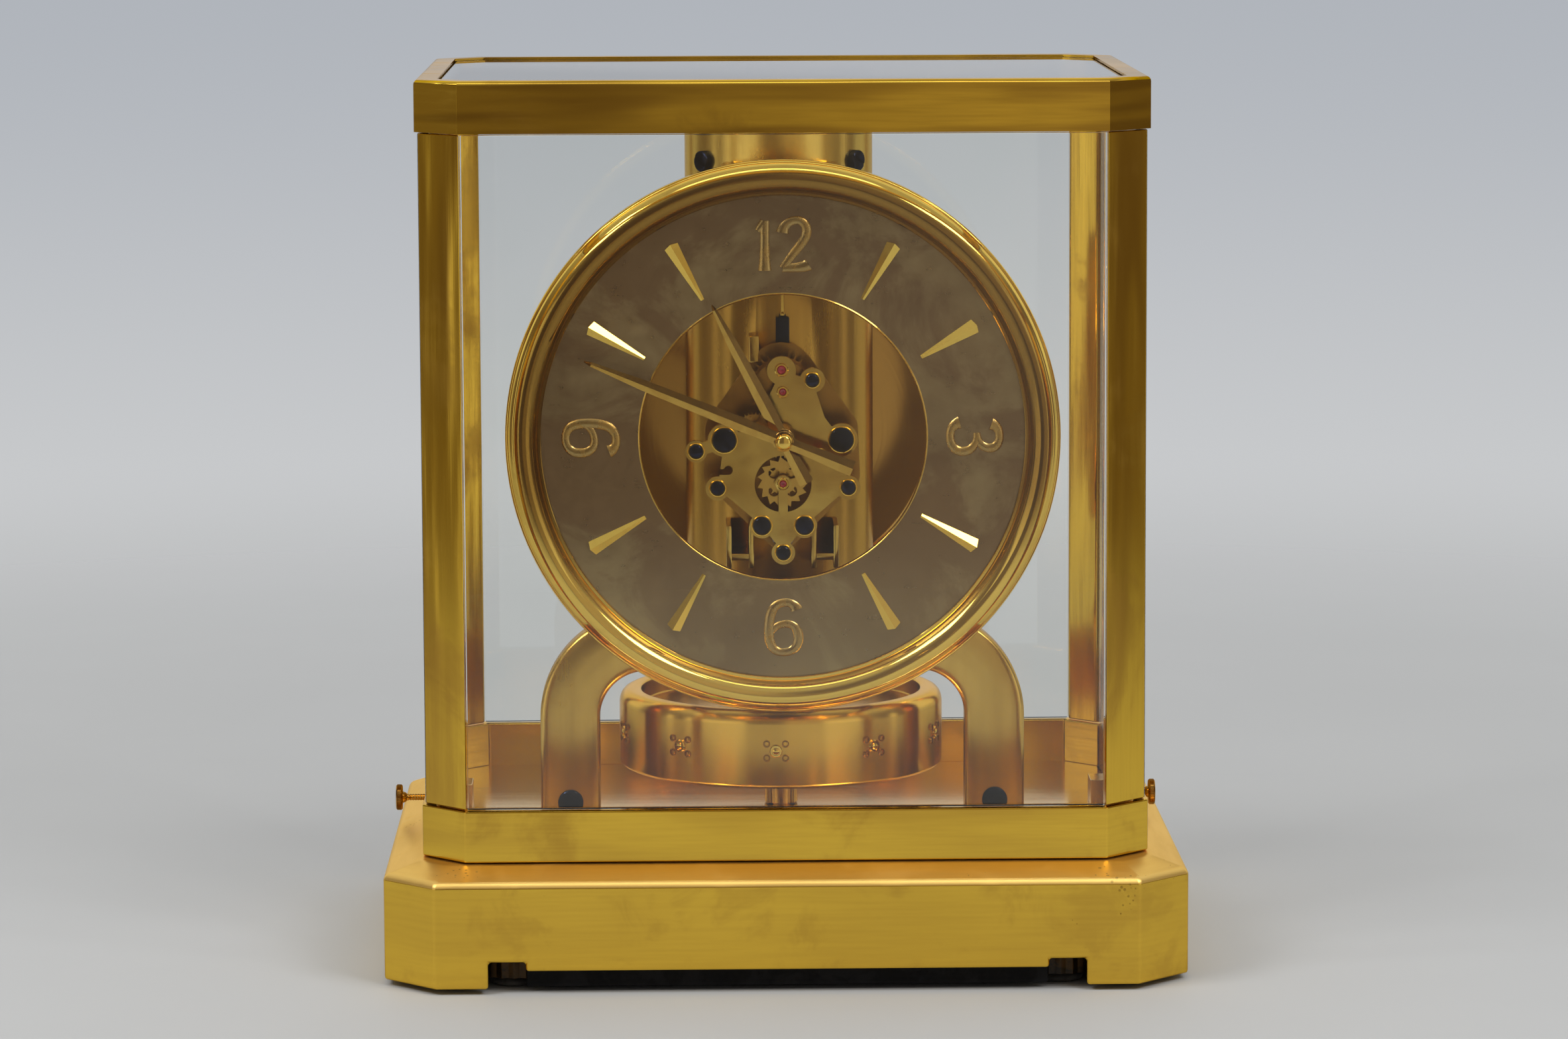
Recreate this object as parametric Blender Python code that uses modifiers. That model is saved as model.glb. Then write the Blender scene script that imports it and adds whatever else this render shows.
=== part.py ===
"""Atmospheric clock: a torsion-pendulum clock in a glass cabinet, as an assembly of separate solids.

Metres, +Z up. The origin is on the table under the middle of the plinth, and the dial faces -Y.
"""

import math

import bmesh
import bpy
from mathutils import Matrix, Vector

MM = 0.001
TAU = math.tau

# Clearances
GAP = 0.3 * MM
RUNNING_GAP = 0.4 * MM

# Plinth
PLINTH_WIDTH = 210 * MM
PLINTH_DEPTH = 165 * MM
PLINTH_CHAMFER = 13.6 * MM
PLINTH_WALL = 4 * MM
PLINTH_BOTTOM = 1 * MM
PLINTH_HEIGHT = 30 * MM
PLINTH_BEVEL = 2.3 * MM
PLINTH_ROOF = 3 * MM
LEDGE_HEIGHT = 1 * MM
LEDGE_INSET = 1.5 * MM
SLOT_HALF_WIDTH = 77.5 * MM
SLOT_TOP = 5.7 * MM
NOTCH_WIDTH = 9.7 * MM
NOTCH_TOP = 8 * MM

# Feet and underside
UNDERSIDE_BOTTOM = 10 * MM
UNDERSIDE_THICKNESS = 1.5 * MM
LEVELLING_X = 71 * MM
LEVELLING_SETBACK = 15.5 * MM
LEVELLING_WHEEL_RADIUS = 10.5 * MM
LEVELLING_WHEEL_HEIGHT = 5 * MM
LEVELLING_STUD_RADIUS = 2.5 * MM
LEVELLING_STUD_TOP = 22 * MM
LEVELLING_BOSS_RADIUS = 6 * MM
LEVELLING_NOTCHES = 20
LEVELLING_TRAVEL = 3 * MM
PAD_RADIUS = 6.5 * MM
PAD_HEIGHT = 2.3 * MM
REAR_FOOT_RADIUS = 7 * MM
REAR_FOOT_SETBACK = 20 * MM

# Cover
COVER_WIDTH = 190 * MM
COVER_DEPTH = 144 * MM
COVER_CHAMFER = 11.5 * MM
COVER_WALL = 4 * MM
BAND_HEIGHT = 13.5 * MM
TOP_FRAME_HEIGHT = 13.5 * MM
OVERALL_HEIGHT = 235 * MM
POST_INSET = 0.8 * MM
POST_DEPTH = 4 * MM
PANE_THICKNESS = 3 * MM
TOP_BORDER = 8 * MM
TOP_REBATE_WIDTH = 2 * MM
TOP_PANE_DROP = 0.7 * MM

# Thumb screws
THUMB_HEIGHT = 4.5 * MM
THUMB_SHAFT_RADIUS = 0.9 * MM
THUMB_HEAD_RADIUS = 3.5 * MM
THUMB_HEAD_LENGTH = 1.7 * MM
THUMB_NECK_LENGTH = 1.2 * MM
THUMB_LENGTH = 13.2 * MM
THUMB_LEFT_BACKED_OUT = 3 * MM

# Base plate
BASE_PLATE_THICKNESS = 1.5 * MM
LUG_THICKNESS = 4.5 * MM
LUG_WIDTH = 10 * MM
LUG_HEIGHT = 7.5 * MM
LUG_FROM_EDGE = 2.2 * MM
CORNER_BLOCK = 5 * MM
CORNER_BLOCK_INSET = 8 * MM
LEG_LUG_DEPTH = 4 * MM
LEG_LUG_HEIGHT = 10 * MM

# Legs
LEG_CLEAR_OF_PENDULUM = 4.2 * MM
LEG_WIDTH = 16 * MM
LEG_FRONT = -20 * MM
LEG_DEPTH = 8 * MM
LEG_STRAIGHT_TOP = 61.8 * MM
LEG_INNER_RADIUS = 12.5 * MM
LEG_EDGE = 1.2 * MM
LEG_ARC_STEPS = 9
LEG_SCREW_HEIGHT = 5.2 * MM
LEG_SCREW_RADIUS = 3.4 * MM
LEG_SCREW_HEAD = 1.6 * MM
LEG_SCREW_SHANK = 1.5 * MM

# Main column
COLUMN_RADIUS = 25.3 * MM
COLUMN_WALL = 3 * MM
COLUMN_Y = 5 * MM
COLUMN_TOP = 219.5 * MM
COLUMN_STEPS = 28
BRIDGE_DEPTH = 13 * MM
BRIDGE_SETBACK = 1.3 * MM
EAR_WIDTH = 2.2 * MM
EAR_HEIGHT = 13 * MM
CHAIN_GUIDE_RADIUS = 2 * MM
COLUMN_SCREW_ANGLE = math.radians(52)
COLUMN_SCREW_Z = 210.5 * MM
COLUMN_SCREW_RADIUS = 2.8 * MM
COLUMN_SCREW_HEAD = 1.8 * MM
COLUMN_SCREW_SHANK = 1.1 * MM
COLUMN_SCREW_LENGTH = 7.5 * MM

# Dial, bezel and hands, as radii and heights in front of the dial face
DIAL_Z = 140.3 * MM
DIAL_STANDOFF = 3 * MM
DIAL_THICKNESS = 1.2 * MM
DIAL_OPENING_RADIUS = 37.5 * MM
DIAL_VISIBLE_RADIUS = 63.5 * MM
BEZEL_WIDTH = 5.8 * MM
BEZEL_SEAT = 3.5 * MM
BEZEL_HEIGHT = 5 * MM
BEZEL_BACK = 2.2 * MM
DIAL_STEPS = 64
BATON_INNER = 41.8 * MM
BATON_OUTER = 58.6 * MM
BATON_WIDE = 3.8 * MM
BATON_NARROW = 0.9 * MM
BATON_RIDGE = 0.8 * MM
BATON_SINK = 0.3 * MM
BEZEL_FOOT_RADIUS = 2 * MM
BEZEL_TOP_FOOT_X = 14 * MM
BEZEL_LOW_FOOT_CLEAR = 0.7 * MM
HOUR_HAND_FRONT = 7.3 * MM
MINUTE_HAND_FRONT = 9.9 * MM
HAND_THICKNESS = 0.8 * MM
HOUR_HAND_LENGTH = 40 * MM
HOUR_HAND_TAIL = 12.8 * MM
HOUR_HAND_ANGLE = math.radians(332.4)
MINUTE_HAND_LENGTH = 56 * MM
MINUTE_HAND_TAIL = 19.4 * MM
MINUTE_HAND_ANGLE = math.radians(292.2)
HAND_TIP_WIDTH = 0.9 * MM
HAND_ROOT_WIDTH = 2.8 * MM
HAND_TAIL_WIDTH = 3.8 * MM
HAND_HUB_WALL = 1.5 * MM
HAND_NUT_RADIUS = 2.2 * MM
HAND_NUT_HEIGHT = 2.2 * MM

# Movement plates, as heights along the dial's axis towards the viewer
MOVEMENT_STANDOFF = 2.7 * MM
PLATE_THICKNESS = 2 * MM
PLATE_SPACING = 16 * MM
PILLAR_RADIUS = 1.6 * MM
PLATE_BOSS_RADIUS = 3 * MM
ARBOR_RADIUS = 1 * MM
HAND_ARBOR_RADIUS = 0.6 * MM
PIVOT_PROUD = 0.4 * MM
WINDOW_RADIUS = 7.6 * MM
ARBOR_SIDES = 12

# Movement plan: places on the dial's plane, from its centre
CENTRE = (0.0, 0.0)
BARREL = (0.0, 11.6 * MM)
THIRD = (10 * MM, -5 * MM)
ESCAPE = (0.0, -12.7 * MM)
PALLETS = (0.0, -30 * MM)
MINUTE_STUD = (-7.5 * MM, 0.0)
TOP_LOBE = (0.0, 19.2 * MM, 4 * MM)
TOP_RIGHT_LOBE = (7.6 * MM, 16 * MM, 3.2 * MM)
WAIST_RIGHT = (9.5 * MM, 5.5 * MM, 1.5 * MM)
SHOULDER_RIGHT = (15.7 * MM, 0.0, 4.6 * MM)
ELBOW_RIGHT = (17.6 * MM, -12.7 * MM, 3.2 * MM)
FOOT_RIGHT = (5.7 * MM, -23.3 * MM, 3.4 * MM)
FOOT_LOBE = (0.0, -30 * MM, 3.2 * MM)
WAIST_LEFT = (-4.5 * MM, 5.5 * MM, 1.5 * MM)
BACK_TOP = (0.0, 14 * MM, 9 * MM)

# Wheel teeth and wheel levels behind the front plate
ADDENDUM = 0.8
DEDENDUM = 1.15
TOOTH_TIP_SHARE = 0.07
TOOTH_ROOT_SHARE = 0.19
BARREL_TEETH = 30
CENTRE_PINION_TEETH = 10
CENTRE_TEETH = 32
THIRD_PINION_TEETH = 16
THIRD_TEETH = 32
ESCAPE_PINION_TEETH = 16
ESCAPE_TEETH = 15
ESCAPE_RADIUS = 6.8 * MM
ESCAPE_ROOT_RADIUS = 5.5 * MM
CANNON_TEETH = 12
MINUTE_TEETH = 36
MINUTE_PINION_TEETH = 8
HOUR_TEETH = 32
WHEEL_THICKNESS = 1 * MM
PINION_EXTRA = 0.3 * MM
HOUR_LEVEL = 0.9 * MM
MINUTE_LEVEL = 2.5 * MM
ESCAPE_LEVEL = 2.3 * MM
THIRD_LEVEL = 5.5 * MM
BARREL_DRUM_START = 3.6 * MM
BARREL_DRUM_RADIUS = 7.6 * MM
BARREL_LEVEL = 9.9 * MM
CENTRE_LEVEL = 12.2 * MM
PIPE_WALL = 0.5 * MM
SPOKE_HOLE_RADIUS = 1.5 * MM
SPOKE_HOLE_RING = 3.3 * MM
SPOKE_HOLES = 4

# Pallet lever
PALLET_REACH = 9.6 * MM
PALLET_SPREAD = math.radians(56)
PALLET_ARM_WIDTH = 1.8 * MM
PALLET_STONE_GAP = 1 * MM
FORK_LENGTH = 13.6 * MM
FORK_FRONT = 6.5 * MM
FORK_THICKNESS = 1.4 * MM
FORK_WIDTH = 4.6 * MM
FORK_SLOT = 2.2 * MM
FORK_SLOT_DEPTH = 4 * MM

# Winding
PULLEY_FRONT = 13 * MM
PULLEY_THICKNESS = 3 * MM
PULLEY_RADIUS = 5.4 * MM
PULLEY_GROOVE = 0.8 * MM
CHAIN_RADIUS = 0.5 * MM
CHAIN_TOP = 4 * MM

# Drum and expansion capsule, as heights along the dial's axis (negative is behind)
DRUM_RADIUS = 43.2 * MM
DRUM_DROP = 4.5 * MM
DRUM_WALL = 1.4 * MM
DRUM_FRONT = -13.9 * MM
DRUM_DEPTH = 36.6 * MM
DRUM_FRONT_WALL = 2 * MM
DRUM_FRONT_HOLE = 9 * MM
DRUM_CAP_DEPTH = 4 * MM
DRUM_CAP_STEP = 8 * MM
DRUM_STEPS = 48
CAPSULE_LENGTH = 17 * MM
CAPSULE_RADIUS = 34 * MM
CAPSULE_FOLD = 4.5 * MM
CAPSULE_FOLDS = 4
PRESSURE_PLATE_RADIUS = 27 * MM
PRESSURE_PLATE_THICKNESS = 2 * MM
SPRING_COIL_RADIUS = 15 * MM
SPRING_WIRE_RADIUS = 1 * MM
SPRING_CURLS = 4
SPRING_POINTS_PER_CURL = 10

# Suspension and pendulum
SUSPENSION_Y = 6 * MM
HEAD_BOTTOM = 206.5 * MM
HEAD_THICKNESS = 8 * MM
HEAD_BACK = 14 * MM
TUBE_RADIUS = 3 * MM
TUBE_BORE = 1.6 * MM
TUBE_BOTTOM = 102 * MM
TUBE_FLANGE_RADIUS = 5 * MM
TUBE_FLANGE_HEIGHT = 2 * MM
WIRE_RADIUS = 0.35 * MM
PENDULUM_RADIUS = 44 * MM
PENDULUM_BOTTOM = 45 * MM
PENDULUM_HEIGHT = 21 * MM
PENDULUM_RIM = 6 * MM
PENDULUM_RECESS = 5 * MM
PENDULUM_HUB_RADIUS = 9 * MM
PENDULUM_EDGE = 0.8 * MM
PENDULUM_STEPS = 56
RIM_BOSSES = 10
RIM_BOSS_RADIUS = 1.6 * MM
RIM_BOSS_PROUD = 0.8 * MM
SPINDLE_RADIUS = 2.5 * MM
SPINDLE_TOP = 94.6 * MM
SPINDLE_FLANGE_RADIUS = 6 * MM
SPINDLE_FLANGE_HEIGHT = 2 * MM
ROLLER_RADIUS = 8 * MM
ROLLER_THICKNESS = 1.2 * MM
ROLLER_DROP = 3 * MM
IMPULSE_PIN_RADIUS = 0.8 * MM
IMPULSE_PIN_RING = 6.5 * MM

# Pendulum lock and level
LOCK_SLEEVE_RADIUS = 4.5 * MM
LOCK_SLEEVE_HEIGHT = 8 * MM
LOCK_PLUNGER_RADIUS = 2.5 * MM
LOCK_PLUNGER_GAP = 1.6 * MM
LOCK_LEVER_PIVOT_Y = -40 * MM
LOCK_LEVER_FRONT_Y = -62 * MM
LOCK_LEVER_BACK_Y = -8 * MM
LOCK_LEVER_WIDTH = 5 * MM
LOCK_LEVER_THICKNESS = 1.5 * MM
LOCK_PIVOT_RADIUS = 1.5 * MM
LOCK_KNOB_RADIUS = 2.5 * MM
LOCK_KNOB_HEIGHT = 3.5 * MM
LEVEL_PLACE = (-24 * MM, -54 * MM)
LEVEL_RADIUS = 8 * MM
LEVEL_WALL = 1.7 * MM
LEVEL_HEIGHT = 6 * MM

# Derived heights and insets
PLINTH_TOP = PLINTH_BOTTOM + PLINTH_HEIGHT
LEDGE_TOP = PLINTH_TOP + LEDGE_HEIGHT
COVER_BOTTOM = LEDGE_TOP + GAP
BAND_TOP = COVER_BOTTOM + BAND_HEIGHT
TOP_FRAME_BOTTOM = OVERALL_HEIGHT - TOP_FRAME_HEIGHT
PLATE_TOP = LEDGE_TOP + GAP + BASE_PLATE_THICKNESS
PENDULUM_TOP = PENDULUM_BOTTOM + PENDULUM_HEIGHT
LEG_X = PENDULUM_RADIUS + RIM_BOSS_PROUD + LEG_CLEAR_OF_PENDULUM + LEG_WIDTH / 2
COLUMN_INNER_RADIUS = COLUMN_RADIUS - COLUMN_WALL
COLUMN_BOTTOM = LEG_STRAIGHT_TOP + LEG_INNER_RADIUS
BRIDGE_HEIGHT = LEG_WIDTH
BACK_PLATE_BACK = COLUMN_RADIUS - COLUMN_Y + MOVEMENT_STANDOFF
BACK_PLATE_FACE = BACK_PLATE_BACK + PLATE_THICKNESS
FRONT_PLATE_BACK = BACK_PLATE_FACE + PLATE_SPACING
FRONT_PLATE_FACE = FRONT_PLATE_BACK + PLATE_THICKNESS
DIAL_FACE = FRONT_PLATE_FACE + DIAL_STANDOFF
BEZEL_RADIUS = DIAL_VISIBLE_RADIUS + BEZEL_SEAT + BEZEL_WIDTH
BEZEL_FOOT_RING = BEZEL_RADIUS - BEZEL_WIDTH / 2
ARBOR_FRONT = FRONT_PLATE_FACE - PIVOT_PROUD
ARBOR_BACK = BACK_PLATE_BACK + PIVOT_PROUD
DRUM_BACK = DRUM_FRONT - DRUM_DEPTH
DRUM_Z = DIAL_Z - DRUM_DROP
CANNON_RADIUS = HAND_ARBOR_RADIUS + GAP + PIPE_WALL
HOUR_PIPE_RADIUS = CANNON_RADIUS + GAP + PIPE_WALL
FRONT_VIEW = (math.pi / 2, 0, 0)

PARTS = bpy.data.collections.new("atmospheric_clock")
CUTTERS = bpy.data.collections.new("cutters")


def clear_scene():
    for obj in list(bpy.data.objects):
        bpy.data.objects.remove(obj, do_unlink=True)
    for collection in (PARTS, CUTTERS):
        bpy.context.scene.collection.children.link(collection)


def finish(name, colour, metallic, roughness, alpha=1.0):
    """A Principled material for one family of pieces."""
    material = bpy.data.materials.new(name)
    material.use_nodes = True
    shader = material.node_tree.nodes["Principled BSDF"]
    shader.inputs["Base Color"].default_value = (*colour, 1.0)
    shader.inputs["Metallic"].default_value = metallic
    shader.inputs["Roughness"].default_value = roughness
    shader.inputs["Alpha"].default_value = alpha
    return material


FINISHES = {
    "gilt_brass": finish("gilt_brass", (0.62, 0.42, 0.10), 1.0, 0.28),
    "copper_plate": finish("copper_plate", (0.78, 0.45, 0.28), 1.0, 0.22),
    "satin_brass": finish("satin_brass", (0.72, 0.52, 0.22), 1.0, 0.38),
    "dial_metal": finish("dial_metal", (0.36, 0.30, 0.20), 0.6, 0.45),
    "blued_steel": finish("blued_steel", (0.03, 0.03, 0.05), 1.0, 0.3),
    "steel": finish("steel", (0.55, 0.55, 0.55), 1.0, 0.3),
    "black_paint": finish("black_paint", (0.01, 0.01, 0.01), 0.0, 0.6),
    "rubber": finish("rubber", (0.02, 0.02, 0.02), 0.0, 0.8),
    "glass": finish("glass", (0.9, 0.95, 0.95), 0.0, 0.02, 0.25),
}


def solid_object(data):
    """Wraps a finished bmesh as a hidden tool object, until piece() makes it a part."""
    bmesh.ops.recalc_face_normals(data, faces=data.faces)
    mesh = bpy.data.meshes.new("solid")
    data.to_mesh(mesh)
    data.free()
    mesh.shade_smooth()
    mesh.set_sharp_from_angle(angle=math.radians(35))
    obj = bpy.data.objects.new("solid", mesh)
    CUTTERS.objects.link(obj)
    obj.hide_render = True
    obj.display_type = "WIRE"
    return obj


def evaluated_solid(carrier, scale):
    """The closed mesh of a curve or of a turned profile, brought to metres."""
    bpy.context.scene.collection.objects.link(carrier)
    graph = bpy.context.evaluated_depsgraph_get()
    mesh = bpy.data.meshes.new_from_object(carrier.evaluated_get(graph))
    bpy.data.objects.remove(carrier)
    data = bmesh.new()
    data.from_mesh(mesh)
    bpy.data.meshes.remove(mesh)
    bmesh.ops.scale(data, vec=(scale, scale, scale), verts=data.verts)
    bmesh.ops.remove_doubles(data, verts=data.verts, dist=MM / 1000)
    return data


def rod(radius, start, end, sides=16, end_radius=None):
    """A straight round bar, or a cone, between two points."""
    start, end = Vector(start), Vector(end)
    span = end - start
    turn = span.to_track_quat("Z", "Y").to_matrix().to_4x4()
    place = Matrix.Translation((start + end) / 2) @ turn
    data = bmesh.new()
    bmesh.ops.create_cone(
        data,
        cap_ends=True,
        segments=sides,
        radius1=radius,
        radius2=radius if end_radius is None else end_radius,
        depth=span.length,
        matrix=place,
    )
    return solid_object(data)


def upright(radius, low, high, at=(0.0, 0.0), sides=16):
    return rod(radius, (*at, low), (*at, high), sides)


def block(low, high):
    """A box between two corners."""
    low, high = Vector(low), Vector(high)
    size = Matrix.Diagonal((*(high - low), 1.0))
    data = bmesh.new()
    bmesh.ops.create_cube(data, size=1.0, matrix=Matrix.Translation((low + high) / 2) @ size)
    return solid_object(data)


def skin(rings, closed=False):
    """A loft through rings of equal point counts; the two ends are capped unless it closes on itself."""
    data = bmesh.new()
    loops = [[data.verts.new(point) for point in ring] for ring in rings]
    pairs = list(zip(loops, loops[1:]))
    if closed:
        pairs.append((loops[-1], loops[0]))
    else:
        data.faces.new(loops[0])
        data.faces.new(loops[-1])
    for lower, upper in pairs:
        for i, corner in enumerate(lower):
            j = (i + 1) % len(lower)
            data.faces.new((corner, lower[j], upper[j], upper[i]))
    return solid_object(data)


def prism(outlines, low, high):
    """A flat shape of one outline and its holes, as a filled curve with a thickness."""
    curve = bpy.data.curves.new("outline", "CURVE")
    curve.dimensions = "2D"
    curve.fill_mode = "BOTH"
    curve.extrude = (high - low) / 2 / MM
    for outline in outlines:
        spline = curve.splines.new("POLY")
        spline.points.add(len(outline) - 1)
        for point, (x, y) in zip(spline.points, outline):
            point.co = (x / MM, y / MM, 0.0, 1.0)
        spline.use_cyclic_u = True
    data = evaluated_solid(bpy.data.objects.new("outline", curve), MM)
    bmesh.ops.translate(data, vec=(0, 0, (low + high) / 2), verts=data.verts)
    return solid_object(data)


def turned(profile, steps, ring=False):
    """A turned shape from (radius, height) points that run down the outer side; a ring closes on itself."""
    count = len(profile)
    edges = [(i, i + 1) for i in range(count - 1)]
    if ring:
        edges.append((count - 1, 0))
    mesh = bpy.data.meshes.new("profile")
    mesh.from_pydata([(r, 0.0, z) for r, z in profile], edges, [])
    carrier = bpy.data.objects.new("profile", mesh)
    screw = carrier.modifiers.new("Turn", "SCREW")
    screw.axis = "Z"
    screw.steps = steps
    screw.render_steps = steps
    screw.use_merge_vertices = True
    screw.merge_threshold = MM / 1000
    return solid_object(evaluated_solid(carrier, 1.0))


def wire(points, radius, bevel_resolution):
    """A round wire with filled ends along a run of points."""
    curve = bpy.data.curves.new("wire", "CURVE")
    curve.dimensions = "3D"
    curve.bevel_depth = radius / MM
    curve.bevel_resolution = bevel_resolution
    curve.use_fill_caps = True
    spline = curve.splines.new("POLY")
    spline.points.add(len(points) - 1)
    for point, (x, y, z) in zip(spline.points, points):
        point.co = (x / MM, y / MM, z / MM, 1.0)
    return solid_object(evaluated_solid(bpy.data.objects.new("wire", curve), MM))


def group(solids):
    """Several separate solids as one tool."""
    data = bmesh.new()
    for solid in solids:
        data.from_mesh(solid.data)
        bpy.data.objects.remove(solid)
    return solid_object(data)


def piece(name, solid, finish_name, joins=(), cuts=(), frame=None, at=(0, 0, 0), turn=(0, 0, 0)):
    """Makes a solid a named part, with the tools that are joined to it and cut from it."""
    solid.name = name
    solid.data.name = name
    CUTTERS.objects.unlink(solid)
    PARTS.objects.link(solid)
    solid.hide_render = False
    solid.display_type = "TEXTURED"
    solid.data.materials.append(FINISHES[finish_name])
    solid.parent = frame
    solid.location = at
    solid.rotation_euler = turn
    if joins or cuts:
        solid.data.shade_flat()
    for operation, tools in (("UNION", joins), ("DIFFERENCE", cuts)):
        for tool in tools:
            tool.name = f"{name}_{operation.lower()}"
            tool.data.shade_flat()
            tool.parent = solid
            modifier = solid.modifiers.new(operation.title(), "BOOLEAN")
            modifier.operation = operation
            modifier.solver = "EXACT"
            modifier.object = tool
    return solid


def frame_empty(name, at, turn):
    """An empty that carries pieces drawn in its own axes."""
    empty = bpy.data.objects.new(name, None)
    empty.location = at
    empty.rotation_euler = turn
    PARTS.objects.link(empty)
    return empty


def polar(radius, angle, centre=(0.0, 0.0)):
    return (centre[0] + radius * math.cos(angle), centre[1] + radius * math.sin(angle))


def arc(centre, radius, start, stop, steps):
    return [polar(radius, start + (stop - start) * i / steps, centre) for i in range(steps + 1)]


def circle(radius, centre=(0.0, 0.0), sides=ARBOR_SIDES):
    return [polar(radius, TAU * i / sides, centre) for i in range(sides)]


def octagon(width, depth, chamfer, inset=0.0):
    """A rectangle with 45 degree corners, drawn in evenly by an inset."""
    x, y = width / 2 - inset, depth / 2 - inset
    c = chamfer - inset * (2 - math.sqrt(2))
    right = [(x, -y + c), (x, y - c), (x - c, y)]
    left = [(-x + c, y), (-x, y - c), (-x, -y + c), (-x + c, -y)]
    return right + left + [(x - c, -y)]


def plinth_octagon(inset):
    return octagon(PLINTH_WIDTH, PLINTH_DEPTH, PLINTH_CHAMFER, inset)


def cover_octagon(inset):
    return octagon(COVER_WIDTH, COVER_DEPTH, COVER_CHAMFER, inset)


def at_height(outline, z):
    return [(x, y, z) for x, y in outline]


def gear_outline(teeth, module, phase):
    """Straight-sided teeth, thin enough to run with backlash; a tooth points along the phase angle."""
    root = module * (teeth / 2 - DEDENDUM)
    tip = module * (teeth / 2 + ADDENDUM)
    tooth = (
        (root, -TOOTH_ROOT_SHARE),
        (tip, -TOOTH_TIP_SHARE),
        (tip, TOOTH_TIP_SHARE),
        (root, TOOTH_ROOT_SHARE),
    )
    return [polar(r, phase + (i + share) * TAU / teeth) for i in range(teeth) for r, share in tooth]


def mesh_pair(first, second, first_teeth, second_teeth):
    """Module and the two phases for gears at two places, with a tooth of the first in a gap of the second."""
    dx, dy = second[0] - first[0], second[1] - first[1]
    module = 2 * math.hypot(dx, dy) / (first_teeth + second_teeth)
    heading = math.atan2(dy, dx)
    return module, heading, heading + math.pi + math.pi / second_teeth


def gear(teeth, module, phase, level, extra=0.0):
    """A toothed wheel at a depth behind the front plate."""
    middle = FRONT_PLATE_BACK - level
    half = WHEEL_THICKNESS / 2 + extra
    return prism([gear_outline(teeth, module, phase)], middle - half, middle + half)


def belt(pulleys, steps=6):
    """An outline drawn tight round circles (x, y, radius), given counter-clockwise."""

    def normal(a, b):
        dx, dy = b[0] - a[0], b[1] - a[1]
        return math.atan2(dy, dx) - math.acos((a[2] - b[2]) / math.hypot(dx, dy))

    points = []
    for i, (x, y, radius) in enumerate(pulleys):
        before = normal(pulleys[i - 1], pulleys[i])
        after = normal(pulleys[i], pulleys[(i + 1) % len(pulleys)])
        sweep = (after - before) % TAU
        if sweep > 1.5 * math.pi:
            half = (TAU - sweep) / 2
            points.append(polar(radius / math.cos(half), before - half, (x, y)))
        else:
            points.extend(arc((x, y), radius, before, before + sweep, steps))
    return points


def mirrored(place):
    return (-place[0], *place[1:])


def both_sides(build):
    """Calls a builder for the left and the right copy of a piece."""
    for side, sign in (("left", -1), ("right", 1)):
        build(side, sign)


def levelling_place(sign):
    return (sign * LEVELLING_X, -PLINTH_DEPTH / 2 + LEVELLING_SETBACK)


def base_plinth():
    hollow_top = PLINTH_TOP - PLINTH_ROOF
    ledge = cover_octagon(LEDGE_INSET)
    shell = skin(
        [
            at_height(plinth_octagon(PLINTH_WALL), hollow_top),
            at_height(plinth_octagon(PLINTH_WALL), PLINTH_BOTTOM),
            at_height(plinth_octagon(0), PLINTH_BOTTOM),
            at_height(plinth_octagon(0), PLINTH_TOP - PLINTH_BEVEL),
            at_height(plinth_octagon(PLINTH_BEVEL), PLINTH_TOP),
            at_height(ledge, PLINTH_TOP),
            at_height(ledge, LEDGE_TOP),
        ]
    )
    front = -PLINTH_DEPTH / 2
    inside = front + PLINTH_WALL + MM
    slot = block((-SLOT_HALF_WIDTH, front - MM, 0), (SLOT_HALF_WIDTH, inside, SLOT_TOP))
    cuts = [slot]
    bosses = []
    for sign in (-1, 1):
        ends = sorted((sign * SLOT_HALF_WIDTH, sign * (SLOT_HALF_WIDTH - NOTCH_WIDTH)))
        cuts.append(block((ends[0], front - MM, 0), (ends[1], inside, NOTCH_TOP)))
        place = levelling_place(sign)
        boss_bottom = UNDERSIDE_BOTTOM + UNDERSIDE_THICKNESS
        bosses.append(upright(LEVELLING_BOSS_RADIUS, boss_bottom, hollow_top + MM, place, 20))
        bore_top = LEVELLING_STUD_TOP + MM
        bore = LEVELLING_STUD_RADIUS + RUNNING_GAP
        cuts.append(upright(bore, boss_bottom - MM, bore_top, place))
    piece("base_plinth", shell, "gilt_brass", [group(bosses)], cuts)


def underside_cover():
    outline = plinth_octagon(PLINTH_WALL + GAP)
    hole = LEVELLING_BOSS_RADIUS + RUNNING_GAP
    holes = [circle(hole, levelling_place(sign), 20) for sign in (-1, 1)]
    top = UNDERSIDE_BOTTOM + UNDERSIDE_THICKNESS
    piece("underside_cover", prism([outline, *holes], UNDERSIDE_BOTTOM, top), "black_paint")


def rear_foot():
    place = (0, PLINTH_DEPTH / 2 - REAR_FOOT_SETBACK, 0)
    foot = turned(
        [
            (0, UNDERSIDE_BOTTOM - GAP),
            (REAR_FOOT_RADIUS * 0.7, UNDERSIDE_BOTTOM - GAP),
            (REAR_FOOT_RADIUS, UNDERSIDE_BOTTOM / 2),
            (REAR_FOOT_RADIUS, 0),
            (0, 0),
        ],
        20,
    )
    piece("rear_foot", foot, "rubber", at=place)


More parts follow.
